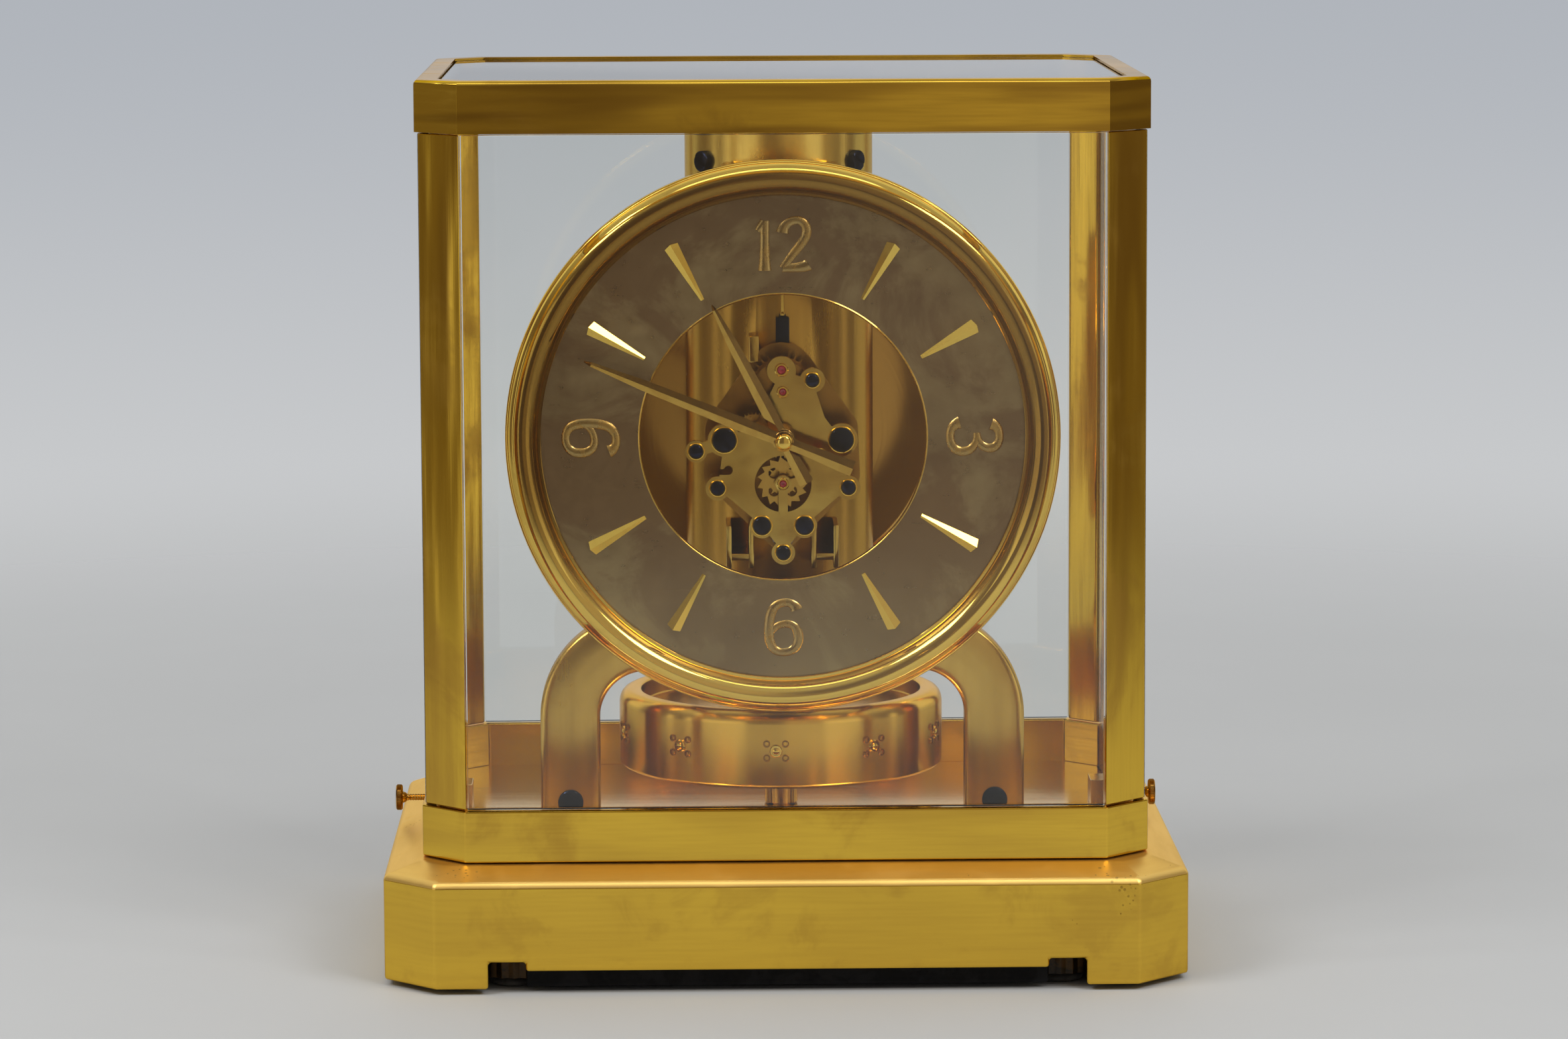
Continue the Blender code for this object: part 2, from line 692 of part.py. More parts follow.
def levelling_screw(side, sign):
    wheel_bottom = PAD_HEIGHT + GAP
    wheel_top = wheel_bottom + LEVELLING_WHEEL_HEIGHT
    rim = []
    for i in range(LEVELLING_NOTCHES):
        for share, radius in ((0.0, 1.0), (0.5, 0.93)):
            rim.append(polar(LEVELLING_WHEEL_RADIUS * radius, (i + share) * TAU / LEVELLING_NOTCHES))
    stud = upright(LEVELLING_STUD_RADIUS, wheel_bottom + MM, LEVELLING_STUD_TOP - LEVELLING_TRAVEL)
    place = (*levelling_place(sign), 0)
    wheel = prism([rim], wheel_bottom, wheel_top)
    piece(f"levelling_screw_{side}", wheel, "satin_brass", [stud], at=place)
    pad = turned(
        [(0, PAD_HEIGHT), (PAD_RADIUS * 0.8, PAD_HEIGHT), (PAD_RADIUS, PAD_HEIGHT / 2), (PAD_RADIUS, 0), (0, 0)],
        20,
    )
    piece(f"levelling_pad_{side}", pad, "rubber", at=place)


def lug_face():
    """How far out the lugs for the thumb screws stand."""
    return COVER_WIDTH / 2 - COVER_WALL - GAP - LUG_FROM_EDGE


def base_plate():
    low = LEDGE_TOP + GAP
    inset = COVER_WALL + GAP
    plate = prism([cover_octagon(inset)], low, PLATE_TOP)
    sunk = low + BASE_PLATE_THICKNESS / 2
    lugs = []
    leg_back = LEG_FRONT + LEG_DEPTH + GAP
    for sign in (-1, 1):
        outer = sign * lug_face()
        xs = sorted((outer, outer - sign * LUG_THICKNESS))
        lugs.append(block((xs[0], -LUG_WIDTH / 2, sunk), (xs[1], LUG_WIDTH / 2, PLATE_TOP + LUG_HEIGHT)))
        corner_x = sorted(sign * (COVER_WIDTH / 2 - CORNER_BLOCK_INSET - d) for d in (0, CORNER_BLOCK))
        corner_y = -COVER_DEPTH / 2 + COVER_CHAMFER + CORNER_BLOCK / 2
        high = (corner_x[1], corner_y + CORNER_BLOCK, PLATE_TOP + CORNER_BLOCK)
        lugs.append(block((corner_x[0], corner_y, sunk), high))
        leg_x = sorted(sign * (LEG_X + d) for d in (-LEG_WIDTH / 2 + MM, LEG_WIDTH / 2 - MM))
        high = (leg_x[1], leg_back + LEG_LUG_DEPTH, PLATE_TOP + LEG_LUG_HEIGHT)
        lugs.append(block((leg_x[0], leg_back, sunk), high))
    pivot_top = PLATE_TOP + GAP + LOCK_LEVER_THICKNESS + MM
    lugs.append(upright(LOCK_PIVOT_RADIUS, sunk, pivot_top, (0, LOCK_LEVER_PIVOT_Y), ARBOR_SIDES))
    holes = [leg_screw_bore(sign, LEG_SCREW_SHANK + GAP) for sign in (-1, 1)]
    piece("base_plate", plate, "copper_plate", [group(lugs)], holes)


def leg_screw_bore(sign, radius):
    z = PLATE_TOP + LEG_SCREW_HEIGHT
    back = LEG_FRONT + LEG_DEPTH + LEG_LUG_DEPTH + 2 * MM
    return rod(radius, (sign * LEG_X, LEG_FRONT - 2 * MM, z), (sign * LEG_X, back, z), ARBOR_SIDES)


def leg(side, sign):
    """An upright bar that arches over to the bridge of the column."""
    outer = LEG_X + LEG_WIDTH / 2
    inner = LEG_X - LEG_WIDTH / 2
    outer_radius = LEG_INNER_RADIUS + LEG_WIDTH
    bend = (outer - outer_radius, LEG_STRAIGHT_TOP)
    foot = PLATE_TOP + GAP
    end = COLUMN_RADIUS + GAP
    outline = [(inner, foot), (outer, foot)]
    outline += arc(bend, outer_radius, 0, math.pi / 2, LEG_ARC_STEPS)
    outline += [(end, LEG_STRAIGHT_TOP + outer_radius), (end, LEG_STRAIGHT_TOP + LEG_INNER_RADIUS)]
    outline += arc(bend, LEG_INNER_RADIUS, math.pi / 2, 0, LEG_ARC_STEPS)
    bar = prism([[(sign * x, z) for x, z in outline]], -LEG_FRONT - LEG_DEPTH, -LEG_FRONT)
    z = PLATE_TOP + LEG_SCREW_HEIGHT
    shank = LEG_SCREW_SHANK + GAP
    bore = rod(shank, (sign * LEG_X, z, 0), (sign * LEG_X, z, -LEG_FRONT + MM), ARBOR_SIDES)
    bar = piece(f"leg_{side}", bar, "satin_brass", turn=FRONT_VIEW)
    edges = bar.modifiers.new("Rounded edges", "BEVEL")
    edges.width = LEG_EDGE
    edges.segments = 1
    edges.limit_method = "ANGLE"
    edges.angle_limit = math.radians(60)
    bore.parent = bar
    bore.name = f"leg_{side}_difference"
    hole = bar.modifiers.new("Difference", "BOOLEAN")
    hole.operation = "DIFFERENCE"
    hole.solver = "EXACT"
    hole.object = bore
    head_back = LEG_FRONT - GAP
    head = rod(
        LEG_SCREW_RADIUS,
        (sign * LEG_X, head_back, z),
        (sign * LEG_X, head_back - LEG_SCREW_HEAD, z),
        end_radius=LEG_SCREW_RADIUS * 0.85,
    )
    tip = LEG_FRONT + LEG_DEPTH + LEG_LUG_DEPTH
    stem = rod(LEG_SCREW_SHANK, (sign * LEG_X, head_back - MM, z), (sign * LEG_X, tip, z), ARBOR_SIDES)
    piece(f"leg_screw_{side}", head, "blued_steel", [stem])


def column_screw_line(sign, start, end):
    """Two points on a line that runs out from the column's axis at the screw's angle."""
    heading = (sign * math.sin(COLUMN_SCREW_ANGLE), -math.cos(COLUMN_SCREW_ANGLE))
    return [(r * heading[0], COLUMN_Y + r * heading[1], COLUMN_SCREW_Z) for r in (start, end)]


def column_screw(side, sign):
    face = COLUMN_RADIUS + GAP
    head_line = column_screw_line(sign, face, face + COLUMN_SCREW_HEAD)
    head = rod(COLUMN_SCREW_RADIUS, *head_line, end_radius=COLUMN_SCREW_RADIUS * 0.85)
    stem_line = column_screw_line(sign, face + MM, face - COLUMN_SCREW_LENGTH)
    stem = rod(COLUMN_SCREW_SHANK, *stem_line, ARBOR_SIDES)
    piece(f"column_screw_{side}", head, "blued_steel", [stem])


def column_screw_bores():
    bore = COLUMN_SCREW_SHANK + GAP
    lines = [column_screw_line(sign, COLUMN_RADIUS + MM, COLUMN_RADIUS - COLUMN_SCREW_LENGTH - MM) for sign in (-1, 1)]
    return [rod(bore, *line, ARBOR_SIDES) for line in lines]


def chain_line():
    """Sideways place of the chain and the guide's centre, on the pulley's own plane."""
    x = PULLEY_RADIUS + GAP + CHAIN_RADIUS
    plane = -(PULLEY_FRONT - PULLEY_THICKNESS / 2)
    bend = CHAIN_GUIDE_RADIUS + RUNNING_GAP + CHAIN_RADIUS
    return x, plane, bend


def main_column():
    """A half tube, open at the back, with a bridge at its foot that the legs meet."""
    axis = (0, COLUMN_Y)
    outline = arc(axis, COLUMN_RADIUS, math.pi, TAU, COLUMN_STEPS)
    outline += arc(axis, COLUMN_INNER_RADIUS, TAU, math.pi, COLUMN_STEPS)
    shell = prism([outline], COLUMN_BOTTOM, COLUMN_TOP)
    front = COLUMN_Y - COLUMN_RADIUS + BRIDGE_SETBACK
    bridge_top = COLUMN_BOTTOM + BRIDGE_HEIGHT
    low = (-COLUMN_RADIUS, front, COLUMN_BOTTOM - GAP)
    bridge = block(low, (COLUMN_RADIUS, front + BRIDGE_DEPTH, bridge_top))
    ears = []
    ear_middle = (COLUMN_RADIUS + COLUMN_INNER_RADIUS) / 2
    for sign in (-1, 1):
        xs = sorted(sign * (ear_middle + d) for d in (-EAR_WIDTH / 2, EAR_WIDTH / 2))
        low = (xs[0], COLUMN_Y - MM, DRUM_Z - EAR_HEIGHT / 2)
        ears.append(block(low, (xs[1], -DRUM_FRONT - GAP, DRUM_Z + EAR_HEIGHT / 2)))
    chain_x, plane, bend = chain_line()
    guide_y = plane + bend
    wall_x = math.sqrt(COLUMN_INNER_RADIUS**2 - (guide_y - COLUMN_Y) ** 2) + COLUMN_WALL / 2
    guide_z = DRUM_Z + bend
    guide = rod(CHAIN_GUIDE_RADIUS, (chain_x - 2 * MM, guide_y, guide_z), (wall_x, guide_y, guide_z), ARBOR_SIDES)
    bores = []
    for place in (BARREL, PALLETS):
        z = DIAL_Z + place[1]
        outside = (place[0], COLUMN_Y - COLUMN_RADIUS - MM, z)
        inside = (place[0], COLUMN_Y - COLUMN_INNER_RADIUS + MM, z)
        bores.append(rod(ARBOR_RADIUS + RUNNING_GAP, outside, inside, ARBOR_SIDES))
    joins = [bridge, group(ears), guide]
    piece("main_column", shell, "gilt_brass", joins, column_screw_bores() + bores)


def suspension():
    """The head in the top of the column, the tube that hangs from it and the torsion wire."""
    axis = (0, COLUMN_Y)
    outline = arc(axis, COLUMN_INNER_RADIUS - GAP, math.pi, TAU, COLUMN_STEPS)
    outline += [(COLUMN_INNER_RADIUS - GAP, HEAD_BACK), (-COLUMN_INNER_RADIUS + GAP, HEAD_BACK)]
    seat = circle(TUBE_RADIUS + GAP, (0, SUSPENSION_Y), 16)
    head_top = HEAD_BOTTOM + HEAD_THICKNESS
    head = prism([outline, seat], HEAD_BOTTOM, head_top)
    piece("suspension_head", head, "satin_brass", cuts=column_screw_bores())
    flange_bottom = head_top + GAP
    flange_top = flange_bottom + TUBE_FLANGE_HEIGHT
    bore_top = flange_top - TUBE_FLANGE_HEIGHT / 2
    tube = turned(
        [
            (0, flange_top),
            (TUBE_FLANGE_RADIUS, flange_top),
            (TUBE_FLANGE_RADIUS, flange_bottom),
            (TUBE_RADIUS, flange_bottom),
            (TUBE_RADIUS, TUBE_BOTTOM),
            (TUBE_BORE, TUBE_BOTTOM),
            (TUBE_BORE, bore_top),
            (0, bore_top),
        ],
        16,
    )
    place = (0, SUSPENSION_Y, 0)
    piece("suspension_tube", tube, "satin_brass", at=place)
    line = upright(WIRE_RADIUS, SPINDLE_TOP + GAP, bore_top - GAP, sides=8)
    piece("torsion_wire", line, "steel", at=place)


def pendulum():
    """The heavy turned weight on its spindle, which hangs on the torsion wire."""
    top, bottom, edge = PENDULUM_TOP, PENDULUM_BOTTOM, PENDULUM_EDGE
    floor = top - PENDULUM_RECESS
    rim = PENDULUM_RADIUS - PENDULUM_RIM
    weight = turned(
        [
            (0, top),
            (PENDULUM_HUB_RADIUS, top),
            (PENDULUM_HUB_RADIUS, floor),
            (rim, floor),
            (rim, top),
            (PENDULUM_RADIUS - edge, top),
            (PENDULUM_RADIUS, top - edge),
            (PENDULUM_RADIUS, bottom + edge),
            (PENDULUM_RADIUS - edge, bottom),
            (0, bottom),
        ],
        PENDULUM_STEPS,
    )
    bosses = []
    middle = (top + bottom) / 2
    for i in range(RIM_BOSSES):
        angle = -math.pi / 2 + i * TAU / RIM_BOSSES
        start = (*polar(PENDULUM_RADIUS - 2 * MM, angle), middle)
        end = (*polar(PENDULUM_RADIUS + RIM_BOSS_PROUD, angle), middle)
        bosses.append(rod(RIM_BOSS_RADIUS, start, end, 8))
    place = (0, SUSPENSION_Y, 0)
    piece("pendulum_disc", weight, "satin_brass", [group(bosses)], at=place)
    flange = top + GAP + SPINDLE_FLANGE_HEIGHT
    roller_top = SPINDLE_TOP - ROLLER_DROP
    spindle = turned(
        [
            (0, SPINDLE_TOP),
            (SPINDLE_RADIUS, SPINDLE_TOP),
            (SPINDLE_RADIUS, roller_top),
            (ROLLER_RADIUS, roller_top),
            (ROLLER_RADIUS, roller_top - ROLLER_THICKNESS),
            (SPINDLE_RADIUS, roller_top - ROLLER_THICKNESS),
            (SPINDLE_RADIUS, flange),
            (SPINDLE_FLANGE_RADIUS, flange),
            (SPINDLE_FLANGE_RADIUS, top + GAP),
            (0, top + GAP),
        ],
        20,
    )
    pin_low = roller_top - ROLLER_THICKNESS / 2
    pin = upright(IMPULSE_PIN_RADIUS, pin_low, SPINDLE_TOP, (0, -IMPULSE_PIN_RING), 8)
    piece("pendulum_spindle", spindle, "satin_brass", [pin], at=place)


def pendulum_lock():
    """A plunger under the pendulum, in a sleeve on the base plate, raised by a lever."""
    place = (0, SUSPENSION_Y, 0)
    low = PLATE_TOP + GAP
    bore = LOCK_PLUNGER_RADIUS + RUNNING_GAP
    sleeve_top = low + LOCK_SLEEVE_HEIGHT
    profile = [(bore, sleeve_top), (LOCK_SLEEVE_RADIUS, sleeve_top), (LOCK_SLEEVE_RADIUS, low), (bore, low)]
    piece("lock_sleeve", turned(profile, 20, ring=True), "satin_brass", at=place)
    plunger = upright(LOCK_PLUNGER_RADIUS, low, PENDULUM_BOTTOM - LOCK_PLUNGER_GAP)
    piece("lock_plunger", plunger, "steel", at=place)
    half = LOCK_LEVER_WIDTH / 2
    front = LOCK_LEVER_FRONT_Y - LOCK_LEVER_PIVOT_Y
    back = LOCK_LEVER_BACK_Y - LOCK_LEVER_PIVOT_Y
    outline = belt([(0, front, half), (0, back, half)])
    hole = circle(LOCK_PIVOT_RADIUS + RUNNING_GAP)
    high = low + LOCK_LEVER_THICKNESS
    knob = upright(LOCK_KNOB_RADIUS, low + LOCK_LEVER_THICKNESS / 2, high + LOCK_KNOB_HEIGHT, (0, front))
    lever_place = (0, LOCK_LEVER_PIVOT_Y, 0)
    piece("lock_lever", prism([outline, hole], low, high), "satin_brass", [knob], at=lever_place)


def level():
    """A round spirit level on the base plate."""
    low = PLATE_TOP + GAP
    inner = LEVEL_RADIUS - LEVEL_WALL
    high = low + LEVEL_HEIGHT
    profile = [(inner, high), (LEVEL_RADIUS, high), (LEVEL_RADIUS, low), (inner, low)]
    place = (*LEVEL_PLACE, 0)
    piece("level_housing", turned(profile, 20, ring=True), "satin_brass", at=place)
    dome = turned(
        [(0, high), (inner * 0.6, high - MM / 2), (inner - GAP, high - MM), (inner - GAP, low), (0, low)],
        20,
    )
    piece("level_vial", dome, "glass", at=place)


def cover_frames():
    inner = COVER_WALL
    band = skin(
        [
            at_height(cover_octagon(0), COVER_BOTTOM),
            at_height(cover_octagon(0), BAND_TOP),
            at_height(cover_octagon(inner), BAND_TOP),
            at_height(cover_octagon(inner), COVER_BOTTOM),
        ],
        closed=True,
    )
    z = COVER_BOTTOM + THUMB_HEIGHT
    reach = COVER_WIDTH / 2 + MM
    bores = []
    for sign in (-1, 1):
        start = (sign * (COVER_WIDTH / 2 - COVER_WALL - MM), 0, z)
        bores.append(rod(THUMB_SHAFT_RADIUS + RUNNING_GAP, start, (sign * reach, 0, z), ARBOR_SIDES))
    piece("cover_bottom_frame", band, "gilt_brass", cuts=bores)
    seat = TOP_BORDER - TOP_REBATE_WIDTH
    seat_z = OVERALL_HEIGHT - TOP_PANE_DROP - PANE_THICKNESS - GAP
    top = skin(
        [
            at_height(cover_octagon(0), TOP_FRAME_BOTTOM),
            at_height(cover_octagon(0), OVERALL_HEIGHT),
            at_height(cover_octagon(seat), OVERALL_HEIGHT),
            at_height(cover_octagon(seat), seat_z),
            at_height(cover_octagon(TOP_BORDER), seat_z),
            at_height(cover_octagon(TOP_BORDER), TOP_FRAME_BOTTOM),
        ],
        closed=True,
    )
    piece("cover_top_frame", top, "gilt_brass")
    pane = prism([cover_octagon(seat + GAP)], seat_z + GAP, seat_z + GAP + PANE_THICKNESS)
    piece("glass_top", pane, "glass")


def cover_sides():
    """Corner posts between the two frames, and the four upright panes between the posts."""
    low, high = BAND_TOP + GAP, TOP_FRAME_BOTTOM - GAP
    corner = cover_octagon(POST_INSET)
    side_x, side_y = corner[1]
    face_x, face_y = corner[2]
    post = [(side_x, side_y), (face_x, face_y), (face_x, face_y - POST_DEPTH), (side_x - POST_DEPTH, side_y)]
    for depth_name, depth_sign in (("front", -1), ("back", 1)):
        for side, sign in (("left", -1), ("right", 1)):
            outline = [(sign * x, depth_sign * y) for x, y in post]
            piece(f"corner_post_{depth_name}_{side}", prism([outline], low, high), "gilt_brass")
        ys = sorted(depth_sign * (face_y - d) for d in (0, PANE_THICKNESS))
        half = face_x - GAP
        piece(f"glass_{depth_name}", block((-half, ys[0], low), (half, ys[1], high)), "glass")
    for side, sign in (("left", -1), ("right", 1)):
        xs = sorted(sign * (side_x - d) for d in (0, PANE_THICKNESS))
        half = side_y - GAP
        piece(f"glass_{side}", block((xs[0], -half, low), (xs[1], half, high)), "glass")


def thumb_screw(side, sign):
    """A knurled screw through the band; the left one stands partly backed out."""
    z = COVER_BOTTOM + THUMB_HEIGHT
    tip = lug_face() + GAP
    if sign < 0:
        tip += THUMB_LEFT_BACKED_OUT
    end = tip + THUMB_LENGTH
    head_back = end - THUMB_HEAD_LENGTH
    neck = head_back - THUMB_NECK_LENGTH
    profile = [
        (0, end),
        (THUMB_HEAD_RADIUS, end),
        (THUMB_HEAD_RADIUS, head_back),
        (THUMB_SHAFT_RADIUS, neck),
        (THUMB_SHAFT_RADIUS, tip),
        (0, tip),
    ]
    turn = (0, sign * math.pi / 2, 0)
    piece(f"thumb_screw_{side}", turned(profile, 16), "gilt_brass", at=(0, 0, z), turn=turn)


def dial(view):
    back = DIAL_FACE - DIAL_THICKNESS
    outer = DIAL_VISIBLE_RADIUS + BEZEL_SEAT - GAP
    plan = [circle(outer, sides=DIAL_STEPS), circle(DIAL_OPENING_RADIUS, sides=DIAL_STEPS)]
    ring = prism(plan, back, DIAL_FACE)
    batons = []
    for hour in range(12):
        if hour % 3 == 0:
            continue
        angle = hour * TAU / 12
        along = Vector((math.cos(angle), math.sin(angle), 0))
        across = Vector((-along.y, along.x, 0))
        ends = []
        for radius, width in ((BATON_INNER, BATON_NARROW), (BATON_OUTER, BATON_WIDE)):
            foot = along * radius + Vector((0, 0, DIAL_FACE - BATON_SINK))
            ridge = along * radius + Vector((0, 0, DIAL_FACE + BATON_RIDGE))
            ends.append([foot - across * width / 2, foot + across * width / 2, ridge])
        batons.append(skin(ends))
    piece("dial_ring", ring, "dial_metal", [group(batons)], frame=view)
    front, rear = DIAL_FACE + BEZEL_HEIGHT, DIAL_FACE - BEZEL_BACK
    seat = DIAL_VISIBLE_RADIUS + BEZEL_SEAT
    crown = BEZEL_RADIUS - (BEZEL_RADIUS - seat) / 2
    lip = DIAL_FACE + GAP
    ring = turned(
        [
            (DIAL_VISIBLE_RADIUS, lip + GAP),
            (seat, DIAL_FACE + BEZEL_HEIGHT / 2),
            (crown - MM, front - MM / 2),
            (crown + MM, front),
            (BEZEL_RADIUS - MM, front - MM),
            (BEZEL_RADIUS, DIAL_FACE + BEZEL_HEIGHT / 2),
            (BEZEL_RADIUS, rear),
            (seat, rear),
            (seat, lip),
            (DIAL_VISIBLE_RADIUS, lip),
        ],
        DIAL_STEPS,
        ring=True,
    )
    piece("bezel", ring, "gilt_brass", [group(bezel_feet())], frame=view)


def bezel_feet():
    """Two feet that reach back to the column's front and two to the legs' arms."""
    start = DIAL_FACE - BEZEL_BACK / 2
    feet = []
    for sign in (-1, 1):
        x = BEZEL_TOP_FOOT_X
        y = math.sqrt(BEZEL_FOOT_RING**2 - x**2)
        nearest = max(x - BEZEL_FOOT_RADIUS, 0)
        end = math.sqrt(COLUMN_RADIUS**2 - nearest**2) - COLUMN_Y + GAP
        feet.append(upright(BEZEL_FOOT_RADIUS, end, start, (sign * x, y), ARBOR_SIDES))
        beside_column = COLUMN_RADIUS + BEZEL_FOOT_RADIUS + BEZEL_LOW_FOOT_CLEAR
        arm_drop = DIAL_Z - COLUMN_BOTTOM - BEZEL_FOOT_RADIUS
        x = max(beside_column, math.sqrt(BEZEL_FOOT_RING**2 - arm_drop**2))
        y = -math.sqrt(BEZEL_FOOT_RING**2 - x**2)
        feet.append(upright(BEZEL_FOOT_RADIUS, -LEG_FRONT + GAP, start, (sign * x, y), ARBOR_SIDES))
    return feet


def front_plate_lobes():
    right = [FOOT_RIGHT, ELBOW_RIGHT, SHOULDER_RIGHT, WAIST_RIGHT, TOP_RIGHT_LOBE]
    left = [WAIST_LEFT, mirrored(SHOULDER_RIGHT), mirrored(ELBOW_RIGHT), mirrored(FOOT_RIGHT)]
    return [FOOT_LOBE, *right, TOP_LOBE, *left]


def movement_plates(view):
    bore = ARBOR_RADIUS + RUNNING_GAP
    pivots = [circle(bore, place) for place in (BARREL, THIRD, PALLETS, MINUTE_STUD)]
    holes = [circle(HOUR_PIPE_RADIUS + RUNNING_GAP), circle(WINDOW_RADIUS, ESCAPE, 24)]
    outline = belt(front_plate_lobes())
    front = prism([outline, *pivots, *holes], FRONT_PLATE_BACK, FRONT_PLATE_FACE)
    piece("movement_front_plate", front, "gilt_brass", frame=view)
    lobes = [FOOT_LOBE, ELBOW_RIGHT, SHOULDER_RIGHT, BACK_TOP, mirrored(SHOULDER_RIGHT), mirrored(ELBOW_RIGHT)]
    pivots = [circle(bore, place) for place in (CENTRE, BARREL, THIRD, ESCAPE, PALLETS)]
    back = prism([belt(lobes), *pivots], BACK_PLATE_BACK, BACK_PLATE_FACE)
    joins = []
    for place in (ELBOW_RIGHT, mirrored(ELBOW_RIGHT), mirrored(SHOULDER_RIGHT)):
        top = FRONT_PLATE_BACK - GAP
        joins.append(upright(PILLAR_RADIUS, BACK_PLATE_FACE - MM, top, place[:2], ARBOR_SIDES))
    for place in (SHOULDER_RIGHT, mirrored(SHOULDER_RIGHT)):
        nearest = abs(place[0]) - PLATE_BOSS_RADIUS
        end = math.sqrt(COLUMN_RADIUS**2 - nearest**2) - COLUMN_Y + GAP
        joins.append(upright(PLATE_BOSS_RADIUS, end, BACK_PLATE_BACK + MM, place[:2], ARBOR_SIDES))
    piece("movement_back_plate", back, "gilt_brass", [group(joins)], frame=view)


def arbor(front=ARBOR_FRONT, back=ARBOR_BACK):
    return upright(ARBOR_RADIUS, back, front, sides=ARBOR_SIDES)


def at_place(place):
    return (*place, 0)


def going_train(view):
    """Barrel, centre, third and escape wheels, each on its own arbor between the plates."""
    module, barrel_phase, pinion_phase = mesh_pair(BARREL, CENTRE, BARREL_TEETH, CENTRE_PINION_TEETH)
    barrel_gear = gear(BARREL_TEETH, module, barrel_phase, BARREL_LEVEL)
    drum_front = FRONT_PLATE_BACK - BARREL_DRUM_START
    drum_back = FRONT_PLATE_BACK - BARREL_LEVEL
    drum = upright(BARREL_DRUM_RADIUS, drum_back, drum_front, sides=32)
    bore = upright(ARBOR_RADIUS + RUNNING_GAP, drum_back - 2 * MM, drum_front + MM, sides=ARBOR_SIDES)
    piece("barrel", drum, "gilt_brass", [barrel_gear], [bore], frame=view, at=at_place(BARREL))

    centre_pinion = gear(CENTRE_PINION_TEETH, module, pinion_phase, BARREL_LEVEL, PINION_EXTRA)
    module, wheel_phase, pinion_phase = mesh_pair(CENTRE, THIRD, CENTRE_TEETH, THIRD_PINION_TEETH)
    centre_wheel = gear(CENTRE_TEETH, module, wheel_phase, CENTRE_LEVEL)
    hand_front = DIAL_FACE + MINUTE_HAND_FRONT + HAND_NUT_HEIGHT - GAP
    shoulder = FRONT_PLATE_BACK - MINUTE_LEVEL - WHEEL_THICKNESS / 2 - PINION_EXTRA - GAP
    stem = upright(HAND_ARBOR_RADIUS, shoulder - MM, hand_front, sides=ARBOR_SIDES)
    joins = [stem, centre_pinion, centre_wheel]
    piece("centre_wheel", arbor(front=shoulder), "gilt_brass", joins, frame=view)

    third_pinion = gear(THIRD_PINION_TEETH, module, pinion_phase, CENTRE_LEVEL, PINION_EXTRA)
    module, wheel_phase, pinion_phase = mesh_pair(THIRD, ESCAPE, THIRD_TEETH, ESCAPE_PINION_TEETH)
    third_gear = gear(THIRD_TEETH, module, wheel_phase, THIRD_LEVEL)
    piece("third_wheel", arbor(), "gilt_brass", [third_pinion, third_gear], frame=view, at=at_place(THIRD))

    escape_pinion = gear(ESCAPE_PINION_TEETH, module, pinion_phase, THIRD_LEVEL, PINION_EXTRA)
    escape_front = FRONT_PLATE_BACK - ESCAPE_LEVEL + WHEEL_THICKNESS / 2
    teeth = []
    for i in range(ESCAPE_TEETH):
        teeth.append(polar(ESCAPE_RADIUS, i * TAU / ESCAPE_TEETH))
        teeth.append(polar(ESCAPE_ROOT_RADIUS, (i + 0.25) * TAU / ESCAPE_TEETH))
    holes = []
    for i in range(SPOKE_HOLES):
        place = polar(SPOKE_HOLE_RING, (i + 0.5) * TAU / SPOKE_HOLES)
        low, high = escape_front - 2 * WHEEL_THICKNESS, escape_front + WHEEL_THICKNESS
        holes.append(upright(SPOKE_HOLE_RADIUS, low, high, place, 10))
    wheel = prism([teeth], escape_front - WHEEL_THICKNESS, escape_front)
    staff = arbor(front=escape_front + WHEEL_THICKNESS)
    joins = [staff, escape_pinion]
    piece("escape_wheel", wheel, "gilt_brass", joins, [group(holes)], frame=view, at=at_place(ESCAPE))


def pallet_lever(view):
    """Pallets under the escape wheel, on an arbor that carries the fork behind the column's wall."""
    level = FRONT_PLATE_BACK - ESCAPE_LEVEL
    low, high = level - WHEEL_THICKNESS / 2, level + WHEEL_THICKNESS / 2
    distance = ESCAPE[1] - PALLETS[1]
    stone_radius = ESCAPE_RADIUS + PALLET_STONE_GAP
    arms = []
    for sign in (-1, 1):
        heading = math.pi / 2 + sign * PALLET_SPREAD / 2
        elbow = polar(PALLET_REACH, heading)
        side = Vector(elbow)
        to_wheel = math.atan2(distance - side.y, -side.x)
        reach = math.hypot(side.x, distance - side.y) - stone_radius
        tip = polar(reach, to_wheel, elbow)
        arms.append(prism([belt([(0, 0, PALLET_ARM_WIDTH), (*elbow, PALLET_ARM_WIDTH / 2)])], low, high))
        stone_low, stone_high = low + WHEEL_THICKNESS / 4, high - WHEEL_THICKNESS / 4
        stone = belt([(*elbow, PALLET_ARM_WIDTH / 4), (*tip, PALLET_ARM_WIDTH / 6)], 3)
        arms.append(prism([stone], stone_low, stone_high))
    fork_back = FORK_FRONT - FORK_THICKNESS
    half = FORK_WIDTH / 2
    slot = FORK_SLOT / 2
    bottom = -FORK_LENGTH
    crotch = bottom + FORK_SLOT_DEPTH
    shoulder = crotch + FORK_SLOT / 2
    neck = shoulder + FORK_SLOT / 2
    neck_half = ARBOR_RADIUS * 0.8
    left = [(-neck_half, 0), (-neck_half, neck), (-half, shoulder), (-half, bottom), (-slot, bottom)]
    right = [(-x, y) for x, y in reversed(left)]
    fork = left + [(-slot, crotch), (slot, crotch)] + right
    arms.append(prism([fork], fork_back, FORK_FRONT))
    staff = arbor(back=fork_back - MM / 2)
    piece("pallet_lever", staff, "steel", arms, frame=view, at=at_place(PALLETS))


